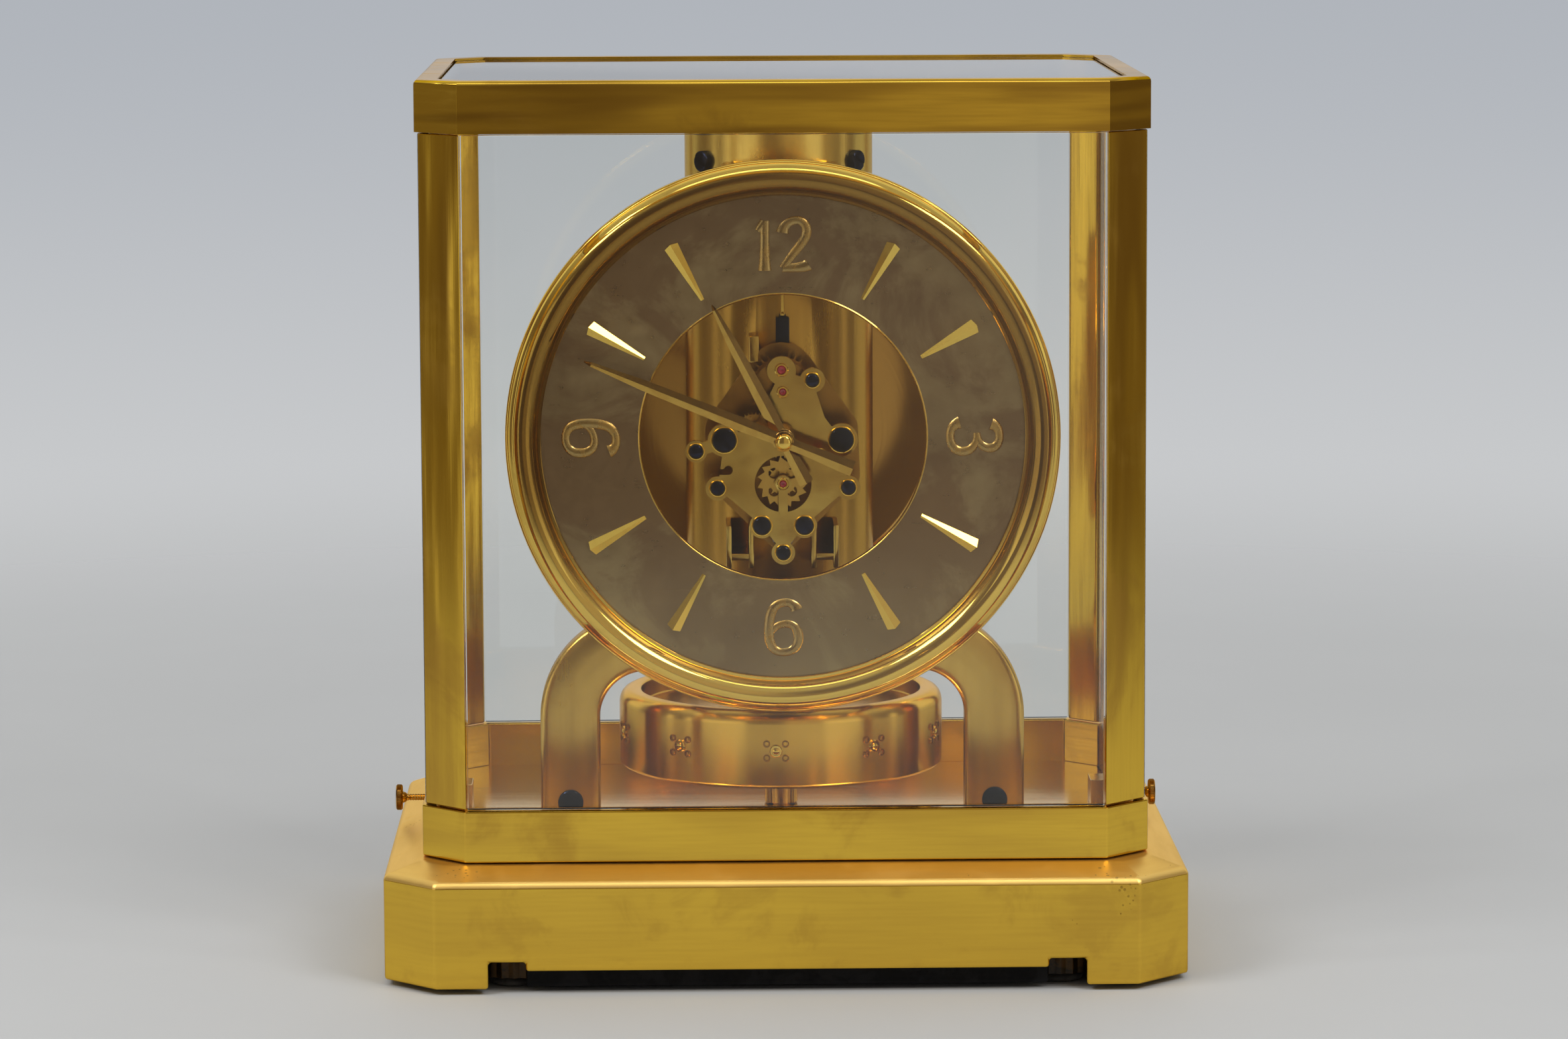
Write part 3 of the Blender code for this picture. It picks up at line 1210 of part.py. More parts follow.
def motion_work(view):
    """Cannon pinion, minute wheel and hour wheel, which turn the hour hand once for twelve of the minute hand."""
    module, cannon_phase, minute_phase = mesh_pair(CENTRE, MINUTE_STUD, CANNON_TEETH, MINUTE_TEETH)
    leaves = gear(CANNON_TEETH, module, cannon_phase, MINUTE_LEVEL, PINION_EXTRA)
    pipe_back = FRONT_PLATE_BACK - MINUTE_LEVEL
    pipe_front = DIAL_FACE + MINUTE_HAND_FRONT
    pipe = upright(CANNON_RADIUS, pipe_back, pipe_front, sides=ARBOR_SIDES)
    bore = upright(HAND_ARBOR_RADIUS + GAP, pipe_back - 2 * MM, pipe_front + MM, sides=ARBOR_SIDES)
    piece("cannon_pinion", pipe, "steel", [leaves], [bore], frame=view)

    minute_gear = gear(MINUTE_TEETH, module, minute_phase, MINUTE_LEVEL)
    module, pinion_phase, hour_phase = mesh_pair(MINUTE_STUD, CENTRE, MINUTE_PINION_TEETH, HOUR_TEETH)
    pinion = gear(MINUTE_PINION_TEETH, module, pinion_phase, HOUR_LEVEL)
    stud = arbor(back=pipe_back - WHEEL_THICKNESS)
    piece("minute_wheel", stud, "gilt_brass", [minute_gear, pinion], frame=view, at=at_place(MINUTE_STUD))

    hour_gear = gear(HOUR_TEETH, module, hour_phase, HOUR_LEVEL)
    pipe_back = FRONT_PLATE_BACK - HOUR_LEVEL
    pipe_front = DIAL_FACE + HOUR_HAND_FRONT
    pipe = upright(HOUR_PIPE_RADIUS, pipe_back, pipe_front, sides=ARBOR_SIDES)
    bore = upright(CANNON_RADIUS + GAP, pipe_back - 2 * MM, pipe_front + MM, sides=ARBOR_SIDES)
    piece("hour_wheel", pipe, "gilt_brass", [hour_gear], [bore], frame=view)


def hand(name, view, bore, length, tail, angle, front):
    """A tapered hand with a counterpoise tail; its own +Y points along the blade."""
    low = DIAL_FACE + front - HAND_THICKNESS
    high = DIAL_FACE + front
    tip, root, end = HAND_TIP_WIDTH / 2, HAND_ROOT_WIDTH / 2, HAND_TAIL_WIDTH / 2
    blade = [(-end, -tail), (end, -tail), (root, 0), (tip, length), (-tip, length), (-root, 0)]
    hub = bore + GAP + HAND_HUB_WALL
    eye = upright(bore + GAP, low - MM, high + MM, sides=ARBOR_SIDES)
    boss = prism([circle(hub, sides=20)], low, high)
    strip = prism([blade], low + HAND_THICKNESS / 8, high - HAND_THICKNESS / 8)
    piece(name, boss, "gilt_brass", [strip], [eye], frame=view, turn=(0, 0, -angle))


def hands(view):
    length, tail = HOUR_HAND_LENGTH, HOUR_HAND_TAIL
    hand("hour_hand", view, HOUR_PIPE_RADIUS, length, tail, HOUR_HAND_ANGLE, HOUR_HAND_FRONT)
    length, tail = MINUTE_HAND_LENGTH, MINUTE_HAND_TAIL
    hand("minute_hand", view, CANNON_RADIUS, length, tail, MINUTE_HAND_ANGLE, MINUTE_HAND_FRONT)
    low = DIAL_FACE + MINUTE_HAND_FRONT + GAP
    high = low + HAND_NUT_HEIGHT
    inner = HAND_ARBOR_RADIUS + GAP
    nut = turned(
        [
            (0, high + GAP),
            (HAND_NUT_RADIUS - GAP, high),
            (HAND_NUT_RADIUS, low),
            (inner, low),
            (inner, high - GAP),
            (0, high - GAP),
        ],
        16,
    )
    piece("hand_nut", nut, "gilt_brass", frame=view)


def winding(view):
    """The winding arbor with its grooved pulley, and the chain to the expansion capsule."""
    back = PULLEY_FRONT - PULLEY_THICKNESS
    groove = PULLEY_THICKNESS / 3
    pulley = turned(
        [
            (0, PULLEY_FRONT),
            (PULLEY_RADIUS, PULLEY_FRONT),
            (PULLEY_RADIUS, PULLEY_FRONT - groove),
            (PULLEY_RADIUS - PULLEY_GROOVE, PULLEY_FRONT - PULLEY_THICKNESS / 2),
            (PULLEY_RADIUS, back + groove),
            (PULLEY_RADIUS, back),
            (0, back),
        ],
        20,
    )
    staff = arbor(back=back + MM)
    piece("winding_arbor", staff, "steel", [pulley], frame=view, at=at_place(BARREL))
    x, plane, bend = chain_line()
    low = DRUM_Z
    corner = arc((plane + bend, low + bend), bend, math.pi, 1.5 * math.pi, 6)
    run = [(x, plane, DIAL_Z + BARREL[1] + CHAIN_TOP)]
    run += [(x, y, z) for y, z in corner]
    run.append((x, -plate_front() - GAP, low))
    piece("winding_chain", wire(run, CHAIN_RADIUS, 1), "steel")


def plate_front():
    """Front of the pressure plate, along the dial's axis."""
    return DRUM_BACK + GAP + CAPSULE_LENGTH + GAP + PRESSURE_PLATE_THICKNESS


def drum(view):
    """The drum behind the column, with the sealed capsule, its pressure plate and the return spring."""
    inner = DRUM_RADIUS - DRUM_WALL
    wall = DRUM_FRONT - DRUM_FRONT_WALL
    housing = turned(
        [
            (DRUM_FRONT_HOLE, DRUM_FRONT),
            (DRUM_RADIUS - MM, DRUM_FRONT),
            (DRUM_RADIUS, DRUM_FRONT - MM),
            (DRUM_RADIUS, DRUM_BACK),
            (inner, DRUM_BACK),
            (inner, wall),
            (DRUM_FRONT_HOLE, wall),
        ],
        DRUM_STEPS,
        ring=True,
    )
    piece("drum_housing", housing, "gilt_brass", frame=view)
    cap_front = DRUM_BACK - GAP
    cap_back = cap_front - DRUM_CAP_DEPTH
    cap = turned(
        [
            (0, cap_front),
            (DRUM_RADIUS, cap_front),
            (DRUM_RADIUS, cap_front - DRUM_CAP_DEPTH / 2),
            (DRUM_RADIUS - DRUM_CAP_STEP, cap_back),
            (0, cap_back),
        ],
        DRUM_STEPS,
    )
    piece("drum_cap", cap, "gilt_brass", frame=view)
    low = DRUM_BACK + GAP
    fold = CAPSULE_LENGTH / CAPSULE_FOLDS
    profile = [(0, low + CAPSULE_LENGTH)]
    for i in range(CAPSULE_FOLDS):
        top = low + CAPSULE_LENGTH - i * fold
        profile += [(CAPSULE_RADIUS - CAPSULE_FOLD, top), (CAPSULE_RADIUS, top - fold / 2)]
    profile += [(CAPSULE_RADIUS - CAPSULE_FOLD, low), (0, low)]
    piece("expansion_capsule", turned(profile, 32), "steel", frame=view)
    front = plate_front()
    plate = prism([circle(PRESSURE_PLATE_RADIUS, sides=32)], front - PRESSURE_PLATE_THICKNESS, front)
    piece("pressure_plate", plate, "steel", frame=view)
    spring_low = front + GAP + SPRING_WIRE_RADIUS
    spring_high = wall - GAP - SPRING_WIRE_RADIUS
    steps = SPRING_CURLS * SPRING_POINTS_PER_CURL
    coil = []
    for i in range(steps + 1):
        place = polar(SPRING_COIL_RADIUS, i * TAU / SPRING_POINTS_PER_CURL)
        coil.append((*place, spring_low + (spring_high - spring_low) * i / steps))
    piece("return_spring", wire(coil, SPRING_WIRE_RADIUS, 1), "steel", frame=view)
    nearest = min(
        (Vector(a) - Vector(b)).length
        for i, a in enumerate(coil)
        for b in coil[i + SPRING_POINTS_PER_CURL // 2 :]
    )
    print(f"return_spring least gap to itself: {(nearest - 2 * SPRING_WIRE_RADIUS) / MM:.2f} mm")


def main():
    clear_scene()
    view = frame_empty("dial_axis", (0, 0, DIAL_Z), FRONT_VIEW)
    base_plinth()
    underside_cover()
    rear_foot()
    both_sides(levelling_screw)
    base_plate()
    both_sides(leg)
    main_column()
    both_sides(column_screw)
    suspension()
    pendulum()
    pendulum_lock()
    level()
    cover_frames()
    cover_sides()
    both_sides(thumb_screw)
    dial(view)
    movement_plates(view)
    going_train(view)
    pallet_lever(view)
    motion_work(view)
    hands(view)
    winding(view)
    drum(frame_empty("drum_axis", (0, 0, DRUM_Z), FRONT_VIEW))


main()
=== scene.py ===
import math

import bmesh
import bpy
from bpy.props import FloatProperty, FloatVectorProperty, IntProperty, PointerProperty
from mathutils import Matrix, Vector


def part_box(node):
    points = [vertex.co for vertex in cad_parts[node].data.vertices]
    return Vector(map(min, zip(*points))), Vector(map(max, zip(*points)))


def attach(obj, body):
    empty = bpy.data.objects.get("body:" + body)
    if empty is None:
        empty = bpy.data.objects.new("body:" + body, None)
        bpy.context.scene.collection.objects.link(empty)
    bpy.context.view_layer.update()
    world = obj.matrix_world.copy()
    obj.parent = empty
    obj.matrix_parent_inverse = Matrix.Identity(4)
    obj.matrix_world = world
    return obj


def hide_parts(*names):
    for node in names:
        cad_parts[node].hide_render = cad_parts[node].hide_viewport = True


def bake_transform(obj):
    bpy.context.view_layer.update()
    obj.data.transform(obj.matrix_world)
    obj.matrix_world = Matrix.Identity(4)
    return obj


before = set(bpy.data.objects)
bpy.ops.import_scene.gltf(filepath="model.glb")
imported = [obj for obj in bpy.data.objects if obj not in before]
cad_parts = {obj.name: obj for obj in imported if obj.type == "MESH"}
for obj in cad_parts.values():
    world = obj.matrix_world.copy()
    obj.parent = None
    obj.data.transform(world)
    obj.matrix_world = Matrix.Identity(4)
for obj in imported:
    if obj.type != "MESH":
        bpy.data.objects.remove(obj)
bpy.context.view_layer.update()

bl_info = {
    "name": "Atmospheric clock",
    "version": (1, 0, 0),
    "blender": (4, 5, 0),
    "location": "View3D > Sidebar > Clock",
    "description": "Builds the finished pieces of a torsion pendulum clock round its frame",
    "category": "Object",
}

MM = 0.001
MERGE = 2e-6
AXES = {"X": Vector((1, 0, 0)), "Y": Vector((0, 1, 0)), "Z": Vector((0, 0, 1))}
REACH = {"X": AXES["Y"], "Y": AXES["X"], "Z": AXES["X"]}

# Lengths are written in millimetres, which MM turns into metres. Lamps, the floor and the heights
# and distances in finishes are in metres. Plinth and cover are width, depth and corner cut, and the
# pendulum's axis is x and y.
DIAL_Z = 140.3
DRUM_Z = 135.8
THUMB_Z = 36.8
PENDULUM = (0, 6)
PLINTH = (210, 165, 13.6)
COVER = (190, 144, 11.5)


def colour_property(name, description, default):
    kind = {"subtype": "COLOR", "size": 3, "min": 0, "max": 1}
    return FloatVectorProperty(name=name, description=description, default=default, **kind)


def length_property(name, description, default):
    return FloatProperty(name=name, description=description, default=default * MM, min=0, unit="LENGTH")


def steps_property(name, description, default):
    return IntProperty(name=name, description=description, default=default, min=32)


class ClockSizes(bpy.types.PropertyGroup):
    case_edge: length_property("Case edge", "Eased edge on the plinth, band, posts and top frame", 0.45)
    fine_edge: length_property("Fine edge", "Eased edge on the small metal pieces", 0.2)
    bezel_rings: steps_property("Bezel steps", "Steps round the bezel and the dial", 160)
    pendulum_steps: steps_property("Pendulum steps", "Steps round the pendulum and the drum", 128)
    baton_ridge: length_property("Baton ridge", "Height of the ridge of an hour baton", 1.15)
    numeral_stroke: length_property("Numeral stroke", "Half width of a numeral's stroke", 1.3)
    hand_ridge: length_property("Hand ridge", "Height of the ridge along a hand", 0.5)
    screw_slot: length_property("Screw slot", "Width of the slot in a screw head", 0.7)
    knurl_depth: length_property("Knurl depth", "Depth of the knurling on the thumb screws", 0.22)


class ClockColours(bpy.types.PropertyGroup):
    gilt: colour_property("Gilt", "Gilt brass of the plinth and the case", (0.84, 0.54, 0.065))
    tarnish: colour_property("Tarnish", "Dull patches on the gilt brass", (0.46, 0.25, 0.045))
    deep: colour_property("Deep tarnish", "Dark streaks on the top frame", (0.33, 0.17, 0.032))
    spot: colour_property("Spots", "Small dark spots on the gilt brass", (0.10, 0.055, 0.02))
    polished: colour_property("Polished gold", "Bezel, batons and settings", (0.90, 0.61, 0.12))
    satin: colour_property("Satin brass", "Legs and wheels", (0.74, 0.48, 0.11))
    rose: colour_property("Rose gold", "Pendulum", (0.86, 0.52, 0.085))
    copper: colour_property("Copper", "Reflecting base plate", (0.98, 0.72, 0.38))
    drum: colour_property("Drum", "Brown gold of the drum", (0.68, 0.40, 0.095))
    works: colour_property("Works", "Brown gold of the back plate and the barrel", (0.42, 0.22, 0.045))
    column: colour_property("Column", "Orange gold of the column", (0.74, 0.50, 0.11))
    plate: colour_property("Plate", "Yellow brass of the front plate", (0.78, 0.56, 0.14))
    # Partly worn gilt, partly a painted reflection: the plinth's upward faces take this lighter colour and
    # more roughness
    shoulder_wear_and_sheen: colour_property("Shoulder", "Worn gilt on the shoulder of the plinth", (0.98, 0.66, 0.20))
    dial: colour_property("Dial", "Taupe metal of the dial", (0.215, 0.135, 0.066))
    dial_bloom: colour_property("Dial bloom", "Pale bloom on the dial", (0.35, 0.265, 0.13))
    dial_stain: colour_property("Dial stain", "Darker clouds on the dial", (0.14, 0.082, 0.04))
    dial_spot: colour_property("Dial spots", "Small dark spots on the dial", (0.07, 0.045, 0.025))
    # Painted shade: darkens the bezel's upper inner part, standing in for dark reflections and shade
    painted_shade: colour_property("Painted shade", "Dark upper part of the bezel", (0.30, 0.165, 0.03))
    aged: colour_property("Aged gold", "Hands and the dial's rim", (0.58, 0.36, 0.075))
    # Painted shade: darkens the hands' upward-facing facets
    shaded_facet: colour_property("Dark facet", "Upper facet of the hands", (0.15, 0.08, 0.02))
    # Painted shade: browns the column below the dial's top, where it lies in the dial's shade
    column_shade: colour_property("Column shade", "Browner column behind the dial", (0.53, 0.295, 0.05))
    dull: colour_property("Dull gold", "Numerals", (0.40, 0.27, 0.10))
    blued: colour_property("Blued steel", "Screw heads", (0.018, 0.022, 0.045))
    blackened: colour_property("Blackened steel", "Levelling wheels", (0.02, 0.019, 0.018))
    steel: colour_property("Steel", "Wire, pinions and springs", (0.50, 0.50, 0.51))
    ruby: colour_property("Ruby", "Jewels of the movement", (0.30, 0.012, 0.025))
    black: colour_property("Black paint", "Underside cover", (0.004, 0.004, 0.0045))
    rubber: colour_property("Rubber", "Feet and pads", (0.022, 0.021, 0.02))
    vial: colour_property("Vial", "Green glass of the level", (0.28, 0.36, 0.09))
    glass: colour_property("Glass", "Tint of the panes", (0.985, 0.995, 0.985))
    smear: colour_property("Smears", "Tint of the smears on the panes", (0.96, 0.98, 0.965))
    floor: colour_property("Floor", "Pale floor", (0.52, 0.535, 0.555))
    paper_low: colour_property("Paper, low", "Background near the floor", (0.585, 0.595, 0.605))
    paper_high: colour_property("Paper, high", "Background at the clock's level", (0.43, 0.455, 0.495))
    paper_top: colour_property("Paper, top", "Background above the clock", (0.78, 0.80, 0.82))
    surround: colour_property("Surround", "Dim warm light round the clock", (0.15, 0.115, 0.08))
    surround_right: colour_property("Surround, right", "Lighter front right", (0.42, 0.36, 0.28))
    ceiling: colour_property("Ceiling", "Light above the clock", (0.46, 0.45, 0.42))
    screen: colour_property("Screens", "Pale screens at both sides of the front", (0.85, 0.83, 0.8))


# Modelling helpers


def sizes():
    return bpy.context.scene.clock_sizes


def colour(name):
    return (*getattr(bpy.context.scene.clock_colours, name), 1.0)


def active():
    return bpy.context.view_layer.objects.active


def done():
    """Leaves edit mode."""
    bpy.ops.object.mode_set(mode="OBJECT")


def let_go():
    """Object mode with nothing selected."""
    if active() is not None and active().mode != "OBJECT":
        done()
    bpy.ops.object.select_all(action="DESELECT")


def hold(piece):
    """Only this piece selected and active, in object mode."""
    let_go()
    bpy.context.view_layer.objects.active = piece
    piece.select_set(True)
    return piece


def named(name):
    piece = active()
    piece.name = piece.data.name = name
    return piece


def settle():
    bpy.ops.object.transform_apply(location=True, rotation=True, scale=True)


def choose(kind, test):
    """Selects the edit mesh's parts of a kind that pass a test, and nothing else."""
    bpy.ops.mesh.select_mode(type=kind)
    bpy.ops.mesh.select_all(action="DESELECT")
    mesh = bmesh.from_edit_mesh(active().data)
    for part in {"VERT": mesh.verts, "EDGE": mesh.edges, "FACE": mesh.faces}[kind]:
        if test(part):
            part.select_set(True)
    mesh.select_flush_mode()
    bmesh.update_edit_mesh(active().data)


def edit(piece, kind, test):
    hold(piece)
    bpy.ops.object.mode_set(mode="EDIT")
    choose(kind, test)


def draw(by):
    bpy.ops.mesh.extrude_region_move(TRANSFORM_OT_translate={"value": Vector(by) * MM})


def inset(thickness, depth=0.0, **settings):
    bpy.ops.mesh.inset(thickness=thickness * MM, depth=depth * MM, **settings)


def round_off(offset, segments):
    """Bevels the selected edges."""
    bpy.ops.mesh.bevel(offset=offset * MM, segments=segments, affect="EDGES")


def close_up():
    """Merges doubles, turns the faces outwards and leaves edit mode."""
    bpy.ops.mesh.select_all(action="SELECT")
    bpy.ops.mesh.remove_doubles(threshold=MERGE)
    bpy.ops.mesh.normals_make_consistent(inside=False)
    done()


def block(name, low, high):
    let_go()
    low, high = Vector(low) * MM, Vector(high) * MM
    bpy.ops.mesh.primitive_cube_add(size=1, location=(low + high) / 2)
    piece = named(name)
    piece.scale = high - low
    settle()
    return piece


def rod(name, radius, start, end, sides=24):
    """A round bar from one point to another."""
    let_go()
    start, end = Vector(start) * MM, Vector(end) * MM
    along = end - start
    size = {"vertices": sides, "radius": radius * MM, "depth": along.length}
    bpy.ops.mesh.primitive_cylinder_add(location=(start + end) / 2, **size)
    piece = named(name)
    piece.rotation_mode = "QUATERNION"
    piece.rotation_quaternion = along.to_track_quat("Z", "Y")
    settle()
    return piece


def line(name, points):
    """An open line of edges, drawn by extruding one vertex. It stays in edit mode."""
    let_go()
    bpy.ops.mesh.primitive_plane_add(size=MM, location=points[0])
    piece = named(name)
    settle()
    bpy.ops.object.mode_set(mode="EDIT")
    bpy.ops.mesh.select_mode(type="VERT")
    bpy.ops.mesh.select_all(action="SELECT")
    bpy.ops.mesh.merge(type="CENTER")
    for here, there in zip(points, points[1:]):
        bpy.ops.mesh.extrude_vertices_move(TRANSFORM_OT_translate={"value": there - here})
    return piece


def sheet(name, points):
    """A flat face on an outline. It stays in edit mode, with the face selected."""
    piece = line(name, points + points[:1])
    bpy.ops.mesh.select_all(action="SELECT")
    bpy.ops.mesh.remove_doubles(threshold=MERGE)
    bpy.ops.mesh.edge_face_add()
    return piece


def turned(name, rings, at, axis="Z", steps=96, closed=False):
    """A profile of (radius, height) points spun round an axis through a point."""
    middle = Vector(at) * MM
    points = [middle + (REACH[axis] * r + AXES[axis] * h) * MM for r, h in rings]
    piece = line(name, points + points[:1] if closed else points)
    bpy.ops.mesh.select_all(action="SELECT")
    bpy.ops.mesh.spin(steps=steps, angle=math.tau, center=middle, axis=AXES[axis])
    close_up()
    return piece


def slab(name, outline, low, high):
    """An upright outline of (x, z) points raised between two depths."""
    piece = sheet(name, [Vector((x, low, z)) * MM for x, z in outline])
    draw((0, high - low, 0))
    close_up()
    return piece


def shape(piece, kind, **settings):
    """Adds a modifier and applies it."""
    hold(piece)
    modifier = piece.modifiers.new(kind.title(), kind)
    for key, value in settings.items():
        setattr(modifier, key, value)
    bpy.ops.object.modifier_apply(modifier=modifier.name)
    return piece


def scrap(*pieces):
    let_go()
    for piece in pieces:
        piece.select_set(True)
    bpy.ops.object.delete()


def cut(piece, *tools, way="DIFFERENCE"):
    for tool in tools:
        shape(piece, "BOOLEAN", object=tool, operation=way, solver="EXACT")
        scrap(tool)
    return piece


def join(name, pieces):
    let_go()
    for piece in pieces:
        piece.select_set(True)
    bpy.context.view_layer.objects.active = pieces[0]
    bpy.ops.object.join()
    return named(name)


def at_point(*point):
    return Matrix.Translation(Vector(point) * MM)


def turn_of(degrees, axis):
    return Matrix.Rotation(math.radians(degrees), 4, axis)


def place(piece, matrix):
    hold(piece)
    piece.matrix_world = matrix
    settle()
    return piece


def copy_of(piece, name, matrix):
    """A copy with a mesh of its own, set down by a matrix."""
    hold(piece)
    bpy.ops.object.duplicate(linked=False)
    return place(named(name), matrix)


def ease(piece, width=0, segments=2, angle=38):
    """Rounds the sharp edges and smooths the rest."""
    if width:
        limit = math.radians(angle)
        shape(piece, "BEVEL", width=width, segments=segments, limit_method="ANGLE", angle_limit=limit)
    hold(piece)
    bpy.ops.object.shade_smooth_by_angle(angle=math.radians(angle + 4))
    shape(piece, "WEIGHTED_NORMAL", keep_sharp=True)
    return piece


def refined(node, name, width=None):
    """A copy of a CAD node with its facets merged, its edges eased and its curves smoothed."""
    let_go()
    piece = bpy.data.objects.new(name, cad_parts[node].data.copy())
    bpy.context.scene.collection.objects.link(piece)
    piece.data.name = name
    piece.data.materials.clear()
    edit(piece, "FACE", lambda face: True)
    bpy.ops.mesh.customdata_custom_splitnormals_clear()
    bpy.ops.mesh.remove_doubles(threshold=MERGE)
    bpy.ops.mesh.dissolve_limited(angle_limit=math.radians(0.4))
    done()
    return ease(piece, sizes().fine_edge if width is None else width * MM)


def fit(piece, body, slot, surface, *nodes):
    """Gives a piece its finish, and hands it to the body that it moves with."""
    piece.data.materials.clear()
    piece.data.materials.append(finish(surface))
    if body is not None:
        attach(piece, body)
    if nodes:
        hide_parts(*nodes)
    return piece


def renew(node, name, body, slot, surface, width=None):
    """Puts a refined copy in the place of a CAD node."""
    return fit(refined(node, name, width), body, slot, surface, node)


def dress(surface, *nodes):
    """Gives CAD nodes that stay in sight their finish."""
    for node in nodes:
        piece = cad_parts[node]
        if not piece.material_slots:
            piece.data.materials.append(finish(surface))
        for slot in piece.material_slots:
            slot.material = finish(surface)


def octagon(name, width, depth, chamfer, low, high):
    """A block with its four upright edges cut off."""
    piece = block(name, (-width / 2, -depth / 2, low), (width / 2, depth / 2, high))
    edit(piece, "EDGE", lambda edge: abs((edge.verts[0].co - edge.verts[1].co).normalized().z) > 0.9)
    round_off(chamfer, 1)
    done()
    return piece


def screw(name, head_radius, head, shank_radius, length):
    """A slotted screw along Y: its seat is at the origin and its head towards the front."""
    lip = min(0.25, head * 0.35)
    tip = 0.3
    rings = [(0, -head), (head_radius - 2 * lip, -head), (head_radius - 0.4 * lip, -head + lip)]
    rings += [(head_radius, -head + 2 * lip), (head_radius, 0), (shank_radius, 0)]
    rings += [(shank_radius, length - tip), (shank_radius - tip, length), (0, length)]
    piece = turned(name, rings, (0, 0, 0), "Y", 40)
    half = min(sizes().screw_slot / MM / 2, head_radius * 0.16)
    deep = min(0.55, head * 0.7)
    cut(piece, block("slot", (-head_radius - 1, -head - 1, -half), (head_radius + 1, -head + deep, half)))
    return ease(piece)


# Finishes


def wire(tree, node, values):
    """Links the values that are sockets to a node's inputs, and sets the rest."""
    for key, value in values.items():
        if isinstance(value, bpy.types.NodeSocket):
            tree.links.new(value, node.inputs[key])
        else:
            node.inputs[key].default_value = value
    return node


def add(tree, kind, values=None, **settings):
    node = tree.nodes.new("ShaderNode" + kind)
    for key, value in settings.items():
        setattr(node, key, value)
    return wire(tree, node, values or {})


def sums(tree, operation, first, second=0.0, third=0.0):
    return add(tree, "Math", {0: first, 1: second, 2: third}, operation=operation).outputs[0]


def vectors(tree, operation, first, second):
    return add(tree, "VectorMath", {0: first, 1: second}, operation=operation).outputs[0]


def length_of(tree, vector):
    return add(tree, "VectorMath", {0: vector}, operation="LENGTH").outputs["Value"]


def height_of(tree, vector):
    return add(tree, "SeparateXYZ", {0: vector}).outputs["Z"]


def blend(tree, share, first, second):
    return add(tree, "Mix", {0: share, 6: first, 7: second}, data_type="RGBA").outputs[2]


def spread(tree, value, low, high, to_low=0.0, to_high=1.0):
    values = {"Value": value, "From Min": low, "From Max": high, "To Min": to_low, "To Max": to_high}
    return add(tree, "MapRange", values, interpolation_type="SMOOTHSTEP").outputs[0]


def noise(tree, at, scale, detail, **more):
    more = {key.title(): value for key, value in more.items()}
    return add(tree, "TexNoise", {"Vector": at, "Scale": scale, "Detail": detail, **more}).outputs["Fac"]


def bump(tree, height, strength, distance, **under):
    under = {key.title(): value for key, value in under.items()}
    values = {"Height": height, "Strength": strength, "Distance": distance, **under}
    return add(tree, "Bump", values).outputs[0]


def new_group(name, takes, gives):
    """An empty group with its inputs by name, and the node that takes its outputs."""
    group = bpy.data.node_groups.new(name, "ShaderNodeTree")
    for label, kind, default in takes:
        socket = group.interface.new_socket(label, in_out="INPUT", socket_type="NodeSocket" + kind)
        if default is not None:
            socket.default_value = default
    for label in gives:
        group.interface.new_socket(label, in_out="OUTPUT", socket_type="NodeSocketFloat")
    given = group.nodes.new("NodeGroupInput").outputs
    return group, given, group.nodes.new("NodeGroupOutput")


def tarnish_group():
    """Blotches, small spots and a fine mottle over a metal surface."""
    takes = [("Vector", "Vector", None), ("Patch Scale", "Float", 30.0), ("Patch Cover", "Float", 0.4)]
    takes += [("Spot Scale", "Float", 500.0), ("Spot Cover", "Float", 0.3)]
    group, given, out = new_group("Tarnish", takes, ("Patches", "Spots", "Mottle"))
    place = given["Vector"]
    wide = noise(group, place, given["Patch Scale"], 7.0, roughness=0.62, distortion=0.7)
    edge = sums(group, "SUBTRACT", 0.86, sums(group, "MULTIPLY", given["Patch Cover"], 0.6))
    low = sums(group, "SUBTRACT", edge, 0.14)
    patches = spread(group, wide, low, edge)
    cells = {"Vector": place, "Scale": given["Spot Scale"], "Randomness": 1.0}
    cells = add(group, "TexVoronoi", cells, feature="F1").outputs["Distance"]
    where = noise(group, place, sums(group, "MULTIPLY", given["Spot Scale"], 0.09), 3.0)
    least = sums(group, "SUBTRACT", 0.72, sums(group, "MULTIPLY", given["Spot Cover"], 0.4))
    size = spread(group, where, least, 0.8, 0.0, 0.42)
    spots = spread(group, sums(group, "SUBTRACT", size, cells), 0.0, 0.1)
    fine = noise(group, place, sums(group, "MULTIPLY", given["Patch Scale"], 6.5), 5.0, roughness=0.6)
    wire(group, out, {"Patches": patches, "Spots": spots, "Mottle": fine})
    return group


def brush_group():
    """Drawn lines or long waves, stretched along one direction."""
    takes = [("Vector", "Vector", None), ("Stretch", "Vector", (1500.0, 1500.0, 30.0))]
    takes += [("Detail", "Float", 3.0)]
    group, given, out = new_group("Brush lines", takes, ("Lines",))
    laid = vectors(group, "MULTIPLY", given["Vector"], given["Stretch"])
    wire(group, out, {"Lines": noise(group, laid, 1.0, given["Detail"], roughness=0.55)})
    return group


def ring_group():
    """Fine turning lines round an axis through a point, and the distance from that axis."""
    takes = [("Vector", "Vector", None), ("Middle", "Vector", None), ("Keep", "Vector", (1.0, 0.0, 1.0))]
    takes += [("Pitch", "Float", 2500.0)]
    group, given, out = new_group("Turning lines", takes, ("Lines", "Reach"))
    off = vectors(group, "SUBTRACT", given["Vector"], given["Middle"])
    reach = length_of(group, vectors(group, "MULTIPLY", off, given["Keep"]))
    lines = {"W": sums(group, "MULTIPLY", reach, given["Pitch"]), "Scale": 1.0, "Detail": 3.0}
    lines = add(group, "TexNoise", lines, noise_dimensions="1D").outputs["Fac"]
    wire(group, out, {"Lines": lines, "Reach": reach})
    return group


